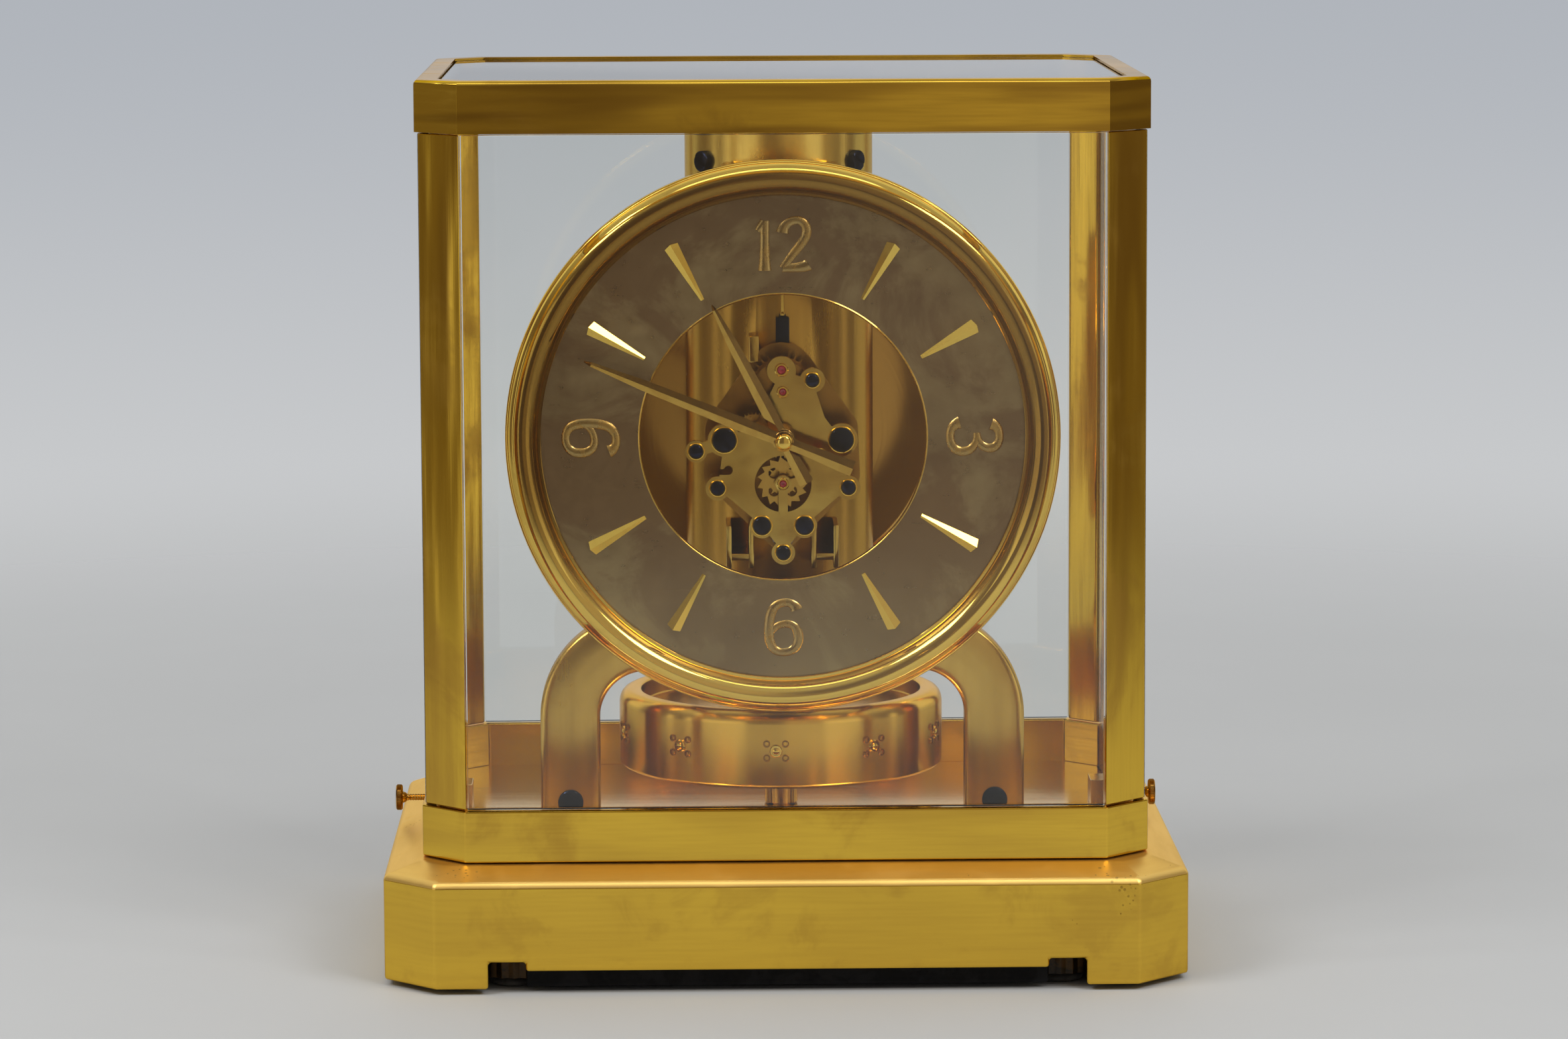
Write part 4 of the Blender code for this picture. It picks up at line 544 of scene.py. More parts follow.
GROUPS = {"Tarnish": tarnish_group, "Brush lines": brush_group, "Turning lines": ring_group}


def grouped(tree, name, values):
    """A group placed in a material; the group is built the first time."""
    group = bpy.data.node_groups.get(name) or GROUPS[name]()
    return add(tree, "Group", values, node_tree=group).outputs


def tarnish(tree, at, patch_scale, patch_cover, spot_scale, spot_cover):
    values = {"Patch Scale": patch_scale, "Patch Cover": patch_cover}
    values.update({"Spot Scale": spot_scale, "Spot Cover": spot_cover, "Vector": at})
    return grouped(tree, "Tarnish", values)


def blank(name):
    """A new material and its node tree, shader, output and Object coordinates."""
    material = bpy.data.materials.new(name)
    material.use_nodes = True
    tree = material.node_tree
    tree.nodes.clear()
    out = add(tree, "OutputMaterial")
    shader = add(tree, "BsdfPrincipled")
    wire(tree, out, {"Surface": shader.outputs[0]})
    return material, tree, shader, out, add(tree, "TexCoord").outputs["Object"]


def see_through(tree, share, shader, out):
    """Mixes a clear shader over the surface by a share."""
    clear = add(tree, "BsdfTransparent").outputs[0]
    both = add(tree, "MixShader", {0: share, 1: shader.outputs[0], 2: clear})
    wire(tree, out, {"Surface": both.outputs[0]})


def metal(name, tint, rough, patch, spots, brush=None, turning=None, wave=None, relief=0.02,
          stain="tarnish", crown=None, painted_shade=None, drawn=0.0, edge=0.45):
    """A metal with stained patches, small spots, drawn or turned lines and long shallow waves.

    Patch and spots are scale, cover and strength. A wave is its stretch, depth and share of stain. A
    crown is the tint and added roughness of the faces that look up, and the least and full tilt for
    it; the tint is painted, a lighter reflection on the plinth and shade on the hands. The painted
    shade tints what lies past a height and within a distance of the turning's middle, standing in for
    shade and dark reflections. Drawn is how far turning stretches a reflection up and down, and edge
    is how pale the metal gets at a glancing angle.
    """
    material, tree, shader, _, at = blank(name)
    marks = tarnish(tree, at, *patch[:2], *spots[:2])
    dots, mottle = marks["Spots"], marks["Mottle"]
    share = sums(tree, "MULTIPLY_ADD", mottle, 0.6 * patch[2], 0.55 * patch[2])
    soft = sums(tree, "MULTIPLY", marks["Patches"], share)
    body = blend(tree, soft, colour(tint), colour(stain))
    # Faces that look up take the crown's tint: painted shade on the hands, a painted lighter reflection on
    # the plinth
    if crown is not None:
        upward = spread(tree, height_of(tree, add(tree, "TexCoord").outputs["Normal"]), *crown[2:])
        body = blend(tree, upward, body, colour(crown[0]))
    body = blend(tree, sums(tree, "MULTIPLY", dots, spots[2]), body, colour("spot"))
    if wave is not None:
        stretch, deep, stained = wave
        swell = grouped(tree, "Brush lines", {"Vector": at, "Stretch": stretch, "Detail": 1.5})[0]
        body = blend(tree, spread(tree, swell, 0.42, 0.66, 0.0, stained), body, colour(stain))
    lines = mottle
    if brush is not None:
        lines = grouped(tree, "Brush lines", {"Vector": at, "Stretch": brush})[0]
    if turning is not None:
        values = dict(zip(("Vector", "Middle", "Keep", "Pitch"), (at, *turning)))
        lines, reach = grouped(tree, "Turning lines", values)
    # Painted shade: past a height, and near the turning's middle if a reach is given, the colour turns darker
    # where shade would fall
    if painted_shade is not None:
        heights, reaches, shade = painted_shade
        past = spread(tree, height_of(tree, at), *heights)
        if reaches is not None:
            past = sums(tree, "MULTIPLY", past, spread(tree, reach, *reaches))
        body = blend(tree, past, body, colour(shade))
    body = blend(tree, spread(tree, lines, 0.3, 0.75, 0.0, 0.14), body, colour(stain))
    wear = sums(tree, "ADD", sums(tree, "MULTIPLY", lines, 0.5), sums(tree, "MULTIPLY", soft, 0.7))
    gloss = sums(tree, "MULTIPLY", dots, 0.2 * spots[2])
    gloss = sums(tree, "ADD", spread(tree, wear, 0.1, 0.8, *rough), gloss)
    if crown is not None:
        gloss = sums(tree, "MULTIPLY_ADD", upward, crown[1], gloss)
    if drawn:
        round_about = add(tree, "Tangent", direction_type="RADIAL", axis="Z").outputs[0]
        wire(tree, shader, {"Anisotropic": drawn, "Anisotropic Rotation": 0.25, "Tangent": round_about})
    under = {} if wave is None else {"normal": bump(tree, swell, 1.0, deep * MM)}
    wire(tree, shader, {
        "Base Color": body, "Roughness": gloss, "Metallic": 1.0,
        "Specular Tint": [edge + (1 - edge) * part for part in colour(tint)],
        "Normal": bump(tree, lines, relief, 0.2 * MM, **under),
    })
    return material


FEW_SPOTS = (300.0, 0.1, 0.3)
FINE_SPOTS = (900.0, 0.2, 0.4)
CASE_SPOTS = (420.0, 0.2, 0.5)
FAINT_PATCHES = (30.0, 0.3, 0.3)
ROUND_Y, ROUND_Z = (1.0, 0.0, 1.0), (1.0, 1.0, 0.0)
DIAL_TURNING = ((0, 0, DIAL_Z * MM), ROUND_Y, 1800.0)
DRUM_TURNING = ((0, 0, DRUM_Z * MM), ROUND_Y, 1500.0)
PENDULUM_TURNING = ((0, PENDULUM[1] * MM, 0), ROUND_Z, 1500.0)
AGED_GOLD = dict(tint="aged", rough=(0.05, 0.14), patch=(150.0, 0.45, 0.6), spots=FINE_SPOTS, relief=0.01)
METALS = {
    "gilt_frame": dict(
        tint="gilt", rough=(0.1, 0.26), patch=(26.0, 0.34, 0.5), spots=CASE_SPOTS, stain="deep", edge=0.25,
        brush=(60.0, 60.0, 1400.0), wave=((15.0, 15.0, 170.0), 0.45, 0.6)),
    "gilt_band": dict(
        tint="gilt", rough=(0.12, 0.28), patch=(26.0, 0.3, 0.45), spots=CASE_SPOTS,
        brush=(60.0, 60.0, 1400.0), wave=((14.0, 14.0, 70.0), 0.3, 0.4)),
    # The plinth's upward faces take a painted lighter reflection, with worn roughness
    "gilt_plinth": dict(
        tint="gilt", rough=(0.14, 0.3), patch=(55.0, 0.36, 0.3), spots=(640.0, 0.42, 0.45), relief=0.03,
        brush=(40.0, 40.0, 900.0), wave=((16.0, 16.0, 50.0), 0.25, 0.15),
        crown=("shoulder_wear_and_sheen", 0.22, 0.12, 0.28)),
    "gilt_post": dict(
        tint="gilt", rough=(0.1, 0.22), patch=(22.0, 0.36, 0.5), spots=(380.0, 0.15, 0.5), relief=0.03,
        brush=(1200.0, 1200.0, 40.0), wave=((90.0, 90.0, 12.0), 0.3, 0.6)),
    "polished_gold": dict(
        tint="polished", rough=(0.05, 0.14), patch=(40.0, 0.25, 0.35), spots=FEW_SPOTS, relief=0.004),
    "aged_gold": AGED_GOLD,
    # The hands' upward-facing facets take painted shade
    "hand_gold": dict(AGED_GOLD, crown=("shaded_facet", 0.06, 0.03, 0.1)),
    "numeral_gold": dict(
        tint="dull", rough=(0.2, 0.34), patch=(150.0, 0.45, 0.5), spots=FINE_SPOTS, relief=0.01),
    # The bezel's upper inner part takes painted shade
    "bezel_gold": dict(
        tint="polished", rough=(0.06, 0.15), patch=(30.0, 0.3, 0.35), spots=FEW_SPOTS, relief=0.008,
        turning=DIAL_TURNING, painted_shade=((0.098, 0.130), (0.0707, 0.069), "painted_shade")),
    "leg_brass": dict(
        tint="satin", rough=(0.22, 0.34), patch=FAINT_PATCHES, spots=FEW_SPOTS, relief=0.015,
        brush=(900.0, 900.0, 12.0), wave=((90.0, 90.0, 8.0), 0.15, 0.3)),
    # The column below the dial's top takes painted shade
    "column_brass": dict(
        tint="column", rough=(0.22, 0.34), patch=FAINT_PATCHES, spots=FEW_SPOTS,
        brush=(1800.0, 1800.0, 25.0), painted_shade=((0.203, 0.185), None, "column_shade")),
    "works_brass": dict(
        tint="works", rough=(0.2, 0.34), patch=FAINT_PATCHES, spots=FEW_SPOTS, relief=0.006,
        brush=(900.0, 900.0, 60.0)),
    # Inside its rim, the weight's top takes the works brown as painted shade
    "rose_gold": dict(
        tint="rose", rough=(0.2, 0.32), patch=(40.0, 0.25, 0.25), spots=(400.0, 0.1, 0.3), relief=0.01,
        turning=PENDULUM_TURNING, painted_shade=((0.0595, 0.0605), (0.0385, 0.0372), "works"), drawn=0.85),
    "copper_plate": dict(
        tint="copper", rough=(0.13, 0.29), patch=FAINT_PATCHES, spots=(300.0, 0.2, 0.4), relief=0.05,
        brush=(20.0, 700.0, 20.0), edge=0.85),
    "drum_gold": dict(
        tint="drum", rough=(0.12, 0.26), patch=FAINT_PATCHES, spots=FEW_SPOTS, relief=0.006,
        turning=DRUM_TURNING),
    "movement_brass": dict(
        tint="plate", rough=(0.1, 0.24), patch=(90.0, 0.4, 0.5), spots=(700.0, 0.15, 0.4), relief=0.004,
        brush=(300.0, 300.0, 2500.0), wave=((70.0, 70.0, 90.0), 0.12, 0.5)),
    "wheel_brass": dict(
        tint="satin", rough=(0.16, 0.3), patch=(120.0, 0.35, 0.3), spots=(700.0, 0.1, 0.3),
        brush=(2500.0, 200.0, 2500.0)),
    "blued_steel": dict(
        tint="blued", rough=(0.1, 0.22), patch=(300.0, 0.5, 0.7), spots=(1500.0, 0.2, 0.4),
        stain="blackened"),
    "black_steel": dict(
        tint="blackened", rough=(0.35, 0.5), patch=(200.0, 0.5, 0.4), spots=FINE_SPOTS, stain="spot"),
    "bright_steel": dict(
        tint="steel", rough=(0.14, 0.3), patch=(120.0, 0.4, 0.3), spots=FINE_SPOTS,
        brush=(2000.0, 2000.0, 100.0)),
}


def dial_metal(name):
    """Satin taupe metal with pale bloom and faint stains."""
    material, tree, shader, _, at = blank(name)
    marks = tarnish(tree, at, 34.0, 0.46, 800.0, 0.25)
    mottle = marks["Mottle"]
    bloom = sums(tree, "MULTIPLY", marks["Patches"], sums(tree, "MULTIPLY_ADD", mottle, 0.7, 0.2))
    # The dial also turns paler towards its lower part, by height
    bloom = sums(tree, "ADD", bloom, spread(tree, height_of(tree, at), 0.12, 0.08, 0.0, 0.65))
    body = blend(tree, bloom, colour("dial"), colour("dial_bloom"))
    cloud = spread(tree, noise(tree, at, 24.0, 4.0), 0.45, 0.75, 0.0, 0.45)
    body = blend(tree, cloud, body, colour("dial_stain"))
    body = blend(tree, sums(tree, "MULTIPLY", marks["Spots"], 0.35), body, colour("dial_spot"))
    lines = grouped(tree, "Brush lines", {"Vector": at, "Stretch": (40.0, 40.0, 1600.0)})[0]
    grain = sums(tree, "ADD", mottle, sums(tree, "MULTIPLY", lines, 0.4))
    wire(tree, shader, {
        "Base Color": body, "Roughness": spread(tree, grain, 0.3, 1.0, 0.24, 0.38), "Metallic": 0.92,
        "Normal": bump(tree, lines, 0.05, 0.1 * MM),
    })
    return material


def pane_glass(name):
    """Clear glass with faint smears; its shadow stays clear."""
    material, tree, shader, out, at = blank(name)
    smear = noise(tree, at, 22.0, 5.0, distortion=0.8)
    wire(tree, shader, {
        "Base Color": blend(tree, spread(tree, smear, 0.4, 0.8), colour("glass"), colour("smear")),
        "Roughness": spread(tree, smear, 0.5, 0.8, 0.0, 0.015), "Transmission Weight": 1.0, "IOR": 1.45,
    })
    light = add(tree, "LightPath").outputs
    see_through(tree, sums(tree, "MAXIMUM", light["Is Shadow Ray"], light["Is Diffuse Ray"]), shader, out)
    return material


def plain(name, tint, worn, rough, scale, relief, coat=0.0, shine=0.5):
    """Paint, rubber or stone with a fine mottle."""
    material, tree, shader, _, at = blank(name)
    marks = tarnish(tree, at, scale, 0.5, 1200.0, 0.2)
    wire(tree, shader, {
        "Base Color": blend(tree, marks["Patches"], colour(tint), (*worn, 1)),
        "Roughness": spread(tree, marks["Mottle"], 0.3, 0.7, *rough),
        "Coat Weight": coat, "Specular IOR Level": shine,
        "Normal": bump(tree, marks["Mottle"], relief, 0.2 * MM),
    })
    return material


PLAINS = {
    "black_paint": dict(
        tint="black", worn=(0.008, 0.008, 0.009), rough=(0.5, 0.7), scale=120.0, relief=0.15, shine=0.1),
    "rubber": dict(tint="rubber", worn=(0.05, 0.048, 0.045), rough=(0.6, 0.85), scale=150.0, relief=0.2),
    "ruby": dict(
        tint="ruby", worn=(0.2, 0.01, 0.02), rough=(0.05, 0.12), scale=600.0, relief=0.01, coat=0.5),
    "level_glass": dict(
        tint="vial", worn=(0.36, 0.44, 0.15), rough=(0.03, 0.08), scale=90.0, relief=0.0, coat=0.6),
}


def finish(name):
    """The material of that name, made the first time it is asked for."""
    label = f"{name}_finish"
    if label in bpy.data.materials:
        return bpy.data.materials[label]
    if name in METALS:
        return metal(label, **METALS[name])
    if name in PLAINS:
        return plain(label, **PLAINS[name])
    return {"dial_metal": dial_metal, "pane_glass": pane_glass}[name](label)


# Pieces


class CLOCK_OT_plinth(bpy.types.Operator):
    """Plinth with its bevel, ledge and finger slot, and what it stands on"""

    bl_idname = "clock.plinth"
    bl_label = "Plinth and feet"

    FOOT, BROW = 1, 28.7
    LEDGE, LEDGE_RISE = 9.6, 3.2
    WALL, HOLLOW = 4, 26.7
    SLOT_END, SLOT_TOP = 77.5, 5.7
    NOTCH_END, NOTCH_TOP = 67.8, 8

    def execute(self, context):
        plinth = octagon("plinth", *PLINTH, self.FOOT, self.BROW)
        edit(plinth, "FACE", lambda face: face.normal.z > 0.9)
        inset(self.LEDGE, self.LEDGE_RISE)
        choose("EDGE", lambda side: all(abs(vert.co.z - self.BROW * MM) < 1e-5 for vert in side.verts))
        round_off(1.5, 6)
        choose("FACE", lambda face: face.normal.z < -0.9)
        inset(self.WALL)
        draw((0, 0, self.HOLLOW))
        done()
        spans = [(-self.SLOT_END, self.SLOT_END, self.SLOT_TOP)]
        spans += [(-self.SLOT_END, -self.NOTCH_END, self.NOTCH_TOP)]
        spans += [(self.NOTCH_END, self.SLOT_END, self.NOTCH_TOP)]
        cut(plinth, *[block("slot", (left, -90, -1), (right, -77, top)) for left, right, top in spans])
        ease(plinth, 2 * sizes().case_edge, 3, 15)
        # Painted shade: a black sheet just behind the finger slot stands in for the deep shadow under the
        # plinth
        shade_sheet = block("slot_shade_sheet", (-67.6, -78.4, 0.9), (67.6, -77.8, 9.8))
        fit(ease(shade_sheet, sizes().fine_edge), "base", "black_paint", "black_paint")
        fit(plinth, "base", "gilt_brass", "gilt_plinth", "base_plinth")
        renew("underside_cover", "underside", "base", "black_paint", "black_paint")
        renew("rear_foot", "rear_pad", "base", "rubber", "rubber", 0.5)
        for side in ("left", "right"):
            wheel, pad = f"levelling_screw_{side}", f"levelling_pad_{side}"
            body = f"level_screw_{side}"
            renew(wheel, f"levelling_wheel_{side}", body, "satin_brass", "black_steel", 0.3)
            renew(pad, f"levelling_foot_{side}", f"level_pad_{side}", "rubber", "rubber", 0.4)
        return {"FINISHED"}


class CLOCK_OT_cover_metal(bpy.types.Operator):
    """Lower band, top frame and corner posts of the cover"""

    bl_idname = "clock.cover_metal"
    bl_label = "Cover metal"

    TOP = 235

    def execute(self, context):
        edge = sizes().case_edge
        band = self.hoop("band", 32.3, 45.8, 4)
        cut(band, rod("hole", 1.4, (-100, 0, THUMB_Z), (100, 0, THUMB_Z), 32))
        fit(ease(band, edge), "cover", "gilt_brass", "gilt_band", "cover_bottom_frame")
        top = self.hoop("top_frame", 221.5, self.TOP, 8)
        cut(top, octagon("rebate", 178, 132, 8, 231, 240))
        edit(top, "EDGE", lambda side: all(self.on_brow(vert.co / MM) for vert in side.verts))
        round_off(1.3, 4)
        done()
        fit(ease(top, edge), "cover", "gilt_brass", "gilt_frame", "cover_top_frame")
        for where in ("front_left", "front_right", "back_left", "back_right"):
            renew(f"corner_post_{where}", f"post_{where}", "cover", "gilt_brass", "gilt_post", edge / MM)
        return {"FINISHED"}

    @staticmethod
    def hoop(name, low, high, wall):
        """An eight-sided hoop of the cover's size."""
        piece = octagon(name, *COVER, low, high)
        edit(piece, "FACE", lambda face: abs(face.normal.z) > 0.9)
        bpy.ops.mesh.delete(type="FACE")
        done()
        return shape(piece, "SOLIDIFY", thickness=wall * MM, offset=-1, use_even_offset=True)

    def on_brow(self, at):
        """True on the upper outer edge of the top frame."""
        width, depth, chamfer = COVER
        x, y = abs(at.x) - width / 2, abs(at.y) - depth / 2
        return at.z > self.TOP - 0.1 and max(x, y, x + y + chamfer) > -0.1


class CLOCK_OT_cover_glass(bpy.types.Operator):
    """The five panes of the cover"""

    bl_idname = "clock.cover_glass"
    bl_label = "Cover glass"

    def execute(self, context):
        for where in ("front", "back", "left", "right", "top"):
            renew(f"glass_{where}", f"pane_{where}", "cover", "glass", "pane_glass", 0.3)
        return {"FINISHED"}


class CLOCK_OT_thumb_screws(bpy.types.Operator):
    """Knurled screws that hold the cover down"""

    bl_idname = "clock.thumb_screws"
    bl_label = "Thumb screws"

    HEAD = [
        (0, 0.35), (2.2, 0.2), (2.6, 0), (3.2, 0), (3.5, 0.3), (3.5, 1.4), (3.2, 1.7), (1.6, 1.8), (1.3, 2.6),
        (0.9, 2.9),
    ]
    END = [(0.9, 12.9), (0.6, 13.2), (0, 13.2)]
    THREADS, PITCH, START = 14, 0.7, 3.2
    RIM = 0.85

    def execute(self, context):
        rings = list(self.HEAD)
        for turn in range(self.THREADS):
            rings += [(0.9, self.START + turn * self.PITCH), (0.75, self.START + 0.35 + turn * self.PITCH)]
        rings += self.END
        for side, start, way in (("left", -105, 1), ("right", 102, -1)):
            piece = turned(f"thumb_{side}", [(r, way * h) for r, h in rings], (start, 0, THUMB_Z), "X", 48)
            edit(piece, "FACE", lambda face: self.on_rim(face, start + way * self.RIM))
            inset(0.09, -sizes().knurl_depth / MM, use_individual=True)
            done()
            fit(ease(piece), f"thumb_{side}", "gilt_brass", "works_brass", f"thumb_screw_{side}")
        return {"FINISHED"}

    @staticmethod
    def on_rim(face, middle):
        return abs(face.calc_center_median().x - middle * MM) < 1e-4 and abs(face.normal.x) < 0.1


class CLOCK_OT_floor_plate(bpy.types.Operator):
    """Reflecting base plate, pendulum lock and bull's-eye level"""

    bl_idname = "clock.floor_plate"
    bl_label = "Base plate, lock and level"

    def execute(self, context):
        renew("base_plate", "floor_plate", "base", "copper_plate", "copper_plate", 0.25)
        renew("lock_lever", "lock_arm", "lock_lever", "satin_brass", "wheel_brass")
        renew("lock_sleeve", "lock_post", "base", "satin_brass", "wheel_brass")
        renew("lock_plunger", "lock_pin", "lock_plunger", "steel", "bright_steel")
        renew("level_housing", "level_cup", "base", "satin_brass", "polished_gold")
        renew("level_vial", "level_dome", "base", "glass", "level_glass", 0.3)
        return {"FINISHED"}


class CLOCK_OT_legs(bpy.types.Operator):
    """Arched legs and the screws at their feet"""

    bl_idname = "clock.legs"
    bl_label = "Legs"

    BAR, BEND, STEPS = 16, 28.5, 24
    BOLT = (57, -20.3, 39)
    CROWN = ((2.2, 0.6), (2.4, 0.25), (2.2, 0.05))

    def execute(self, context):
        first = screw("leg_bolt_left", 3.4, 1.6, 1.5, 12.3)
        x, y, z = self.BOLT
        for side, sign, turn in (("right", 1, 35), ("left", -1, -20)):
            leg = self.arch(f"arch_{side}", sign)
            fit(leg, "base", "satin_brass", "leg_brass", f"leg_{side}")
            matrix = at_point(sign * x, y, z) @ turn_of(turn, "Y")
            bolt = place(first, matrix) if side == "left" else copy_of(first, "leg_bolt_right", matrix)
            fit(bolt, "base", "blued_steel", "blued_steel", f"leg_screw_{side}")
        return {"FINISHED"}

    def arch(self, name, sign):
        """A flat bar that rises and bends over to the column, with a crowned front."""
        low, high = (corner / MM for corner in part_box("leg_right"))
        x, z = high.x - self.BEND, high.z - self.BEND
        turns = [math.pi / 2 * i / self.STEPS for i in range(self.STEPS + 1)]
        outline = [(high.x - self.BAR, low.z), (high.x, low.z)]
        outline += [(x + self.BEND * math.cos(a), z + self.BEND * math.sin(a)) for a in turns]
        outline += [(low.x, high.z), (low.x, high.z - self.BAR)]
        inner = self.BEND - self.BAR
        outline += [(x + inner * math.cos(a), z + inner * math.sin(a)) for a in reversed(turns)]
        piece = slab(name, [(sign * x, z) for x, z in outline], low.y, high.y)
        edit(piece, "FACE", lambda face: face.normal.y < -0.9)
        for width, rise in self.CROWN:
            inset(width, rise)
        done()
        return ease(piece, 1.0 * MM, 3, 50)


class CLOCK_OT_column(bpy.types.Operator):
    """Half-round column, its screws, and the suspension inside it"""

    bl_idname = "clock.column"
    bl_label = "Column and suspension"

    AXIS, SEAT = (0, 5, 210.5), 25.33

    def execute(self, context):
        renew("main_column", "column", "base", "gilt_brass", "column_brass", 0.5)
        first = screw("column_bolt_left", 2.8, 1.75, 1.1, 7.2)
        for side, angle in (("right", 52), ("left", -52)):
            turn = turn_of(angle, "Z")
            seat = Vector(self.AXIS) * MM + turn @ Vector((0, -self.SEAT * MM, 0))
            matrix = Matrix.Translation(seat) @ turn @ turn_of(25, "Y")
            bolt = place(first, matrix) if side == "left" else copy_of(first, "column_bolt_right", matrix)
            fit(bolt, "base", "blued_steel", "blued_steel", f"column_screw_{side}")
        renew("suspension_head", "suspension_block", "base", "satin_brass", "wheel_brass")
        renew("suspension_tube", "suspension_pipe", "base", "satin_brass", "column_brass")
        renew("torsion_wire", "torsion_ribbon", "base", "steel", "bright_steel", 0.0)
        return {"FINISHED"}


class CLOCK_OT_drum(bpy.types.Operator):
    """Drum, its cap, and the capsule, plate, spring and chain that wind the clock"""

    bl_idname = "clock.drum"
    bl_label = "Drum and winding works"

    FRONT = [(9, 13.9), (40.2, 13.9), (41.4, 14.1), (42.3, 14.6), (42.9, 15.4), (43.2, 16.4)]
    GROOVES = (20, 32.5, 45)
    BACK = [(43.2, 50.2), (42.9, 50.5), (42.0, 50.5), (41.8, 50.2), (41.8, 15.9), (9, 15.9)]
    LID = [
        (0, 50.8), (42.9, 50.8), (43.2, 51.1), (43.2, 52.4), (42.7, 52.9), (41.5, 53.2), (41.1, 53.0),
        (40.5, 53.0), (40.1, 53.5), (36, 54.6), (35.2, 54.8), (24, 54.8), (23.6, 54.3), (22.6, 54.3),
        (22.2, 54.8), (12, 54.8), (11.6, 54.3), (7, 54.3), (6.6, 54.8), (0, 54.8),
    ]
    # Wound pieces: node, piece, slot, finish, edge, and where they are held and drawn
    STRETCHED = (
        ("expansion_capsule", "bellows", "satin_brass", "copper_plate", 0.4, 50.2, 33.2),
        ("return_spring", "coil_spring", "steel", "bright_steel", 0.0, 16.2, 30.4),
        ("winding_chain", "pull_chain", "steel", "bright_steel", 0.0, -10, 30),
    )

    def execute(self, context):
        steps = sizes().pendulum_steps
        at = (0, 0, DRUM_Z)
        rings = list(self.FRONT)
        for groove in self.GROOVES:
            rings += [(43.2, groove), (42.8, groove + 0.4), (42.8, groove + 1), (43.2, groove + 1.4)]
        drum = ease(turned("drum", rings + self.BACK, at, "Y", steps, closed=True))
        fit(drum, "base", "gilt_brass", "drum_gold", "drum_housing")
        cap = ease(turned("drum_lid", self.LID, at, "Y", steps))
        fit(cap, "base", "gilt_brass", "drum_gold", "drum_cap")
        renew("pressure_plate", "press_disc", "pressure", "steel", "bright_steel", 0.3)
        for node, name, slot, surface, width, held, drawn in self.STRETCHED:
            piece = renew(node, name, None, slot, surface, width)
            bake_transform(piece)
        return {"FINISHED"}


class CLOCK_OT_pendulum(bpy.types.Operator):
    """Torsion pendulum: the turned weight, its adjusting screws and its spindle"""

    bl_idname = "clock.pendulum"
    bl_label = "Pendulum"

    WEIGHT = [
        (0, 45), (41.5, 45), (42.6, 45.15), (43.5, 45.6), (44, 46.4), (44, 62.4), (43.85, 63.5), (43.4, 64.6),
        (42.7, 65.4), (41.8, 65.85), (40.9, 66), (38.6, 66), (38.1, 65.7), (38, 65.2), (38, 61.6),
        (37.6, 61.1), (37, 61), (9.7, 61), (9.2, 61.2), (9, 61.7), (9, 65.3), (8.8, 65.8), (8.3, 66), (0, 66),
    ]
    STUD = [
        (1.7, 0.3), (1.7, -0.3), (1.45, -0.55), (1.2, -0.55), (1.1, -0.3), (0.95, -0.3), (0.85, -0.65),
        (0.5, -0.8), (0, -0.8),
    ]
    PIN = [(0.95, 0.3), (0.95, -0.25), (0.8, -0.45), (0.6, -0.45), (0.5, 0.1), (0, 0.15)]
    RIM, RIM_Z = 44, 55.5
    STUDS, FIRST_TURN = 10, -2.7

    def execute(self, context):
        weight = turned("weight", self.WEIGHT, (*PENDULUM, 0), "Z", sizes().pendulum_steps)
        fit(ease(weight), "pendulum", "gilt_brass", "rose_gold", "pendulum_disc")
        stud = ease(turned("stud", self.STUD, (0, 0, 0), "Y", 24))
        pins = [turned("pin", self.PIN, (x, 0.05, z), "Y", 16) for x in (-2.5, 2.5) for z in (-1.9, 1.9)]
        pins = ease(join("rim_pins", pins))
        self.ring_of(stud, "rim_screws", "gilt_brass", "polished_gold")
        self.ring_of(pins, "rim_pins", "satin_brass", "works_brass")
        renew("pendulum_spindle", "spindle", "pendulum", "satin_brass", "wheel_brass")
        return {"FINISHED"}

    def ring_of(self, first, name, slot, surface):
        """Copies of a small piece, evenly round the weight's rim."""
        copies = []
        for n in range(self.STUDS):
            turn = turn_of(n * 360 / self.STUDS + self.FIRST_TURN, "Z")
            spot = at_point(*PENDULUM, self.RIM_Z) @ turn @ at_point(0, -self.RIM, 0)
            copies.append(copy_of(first, "rim_copy", spot))
        scrap(first)
        fit(join(name, copies), "pendulum", slot, surface)


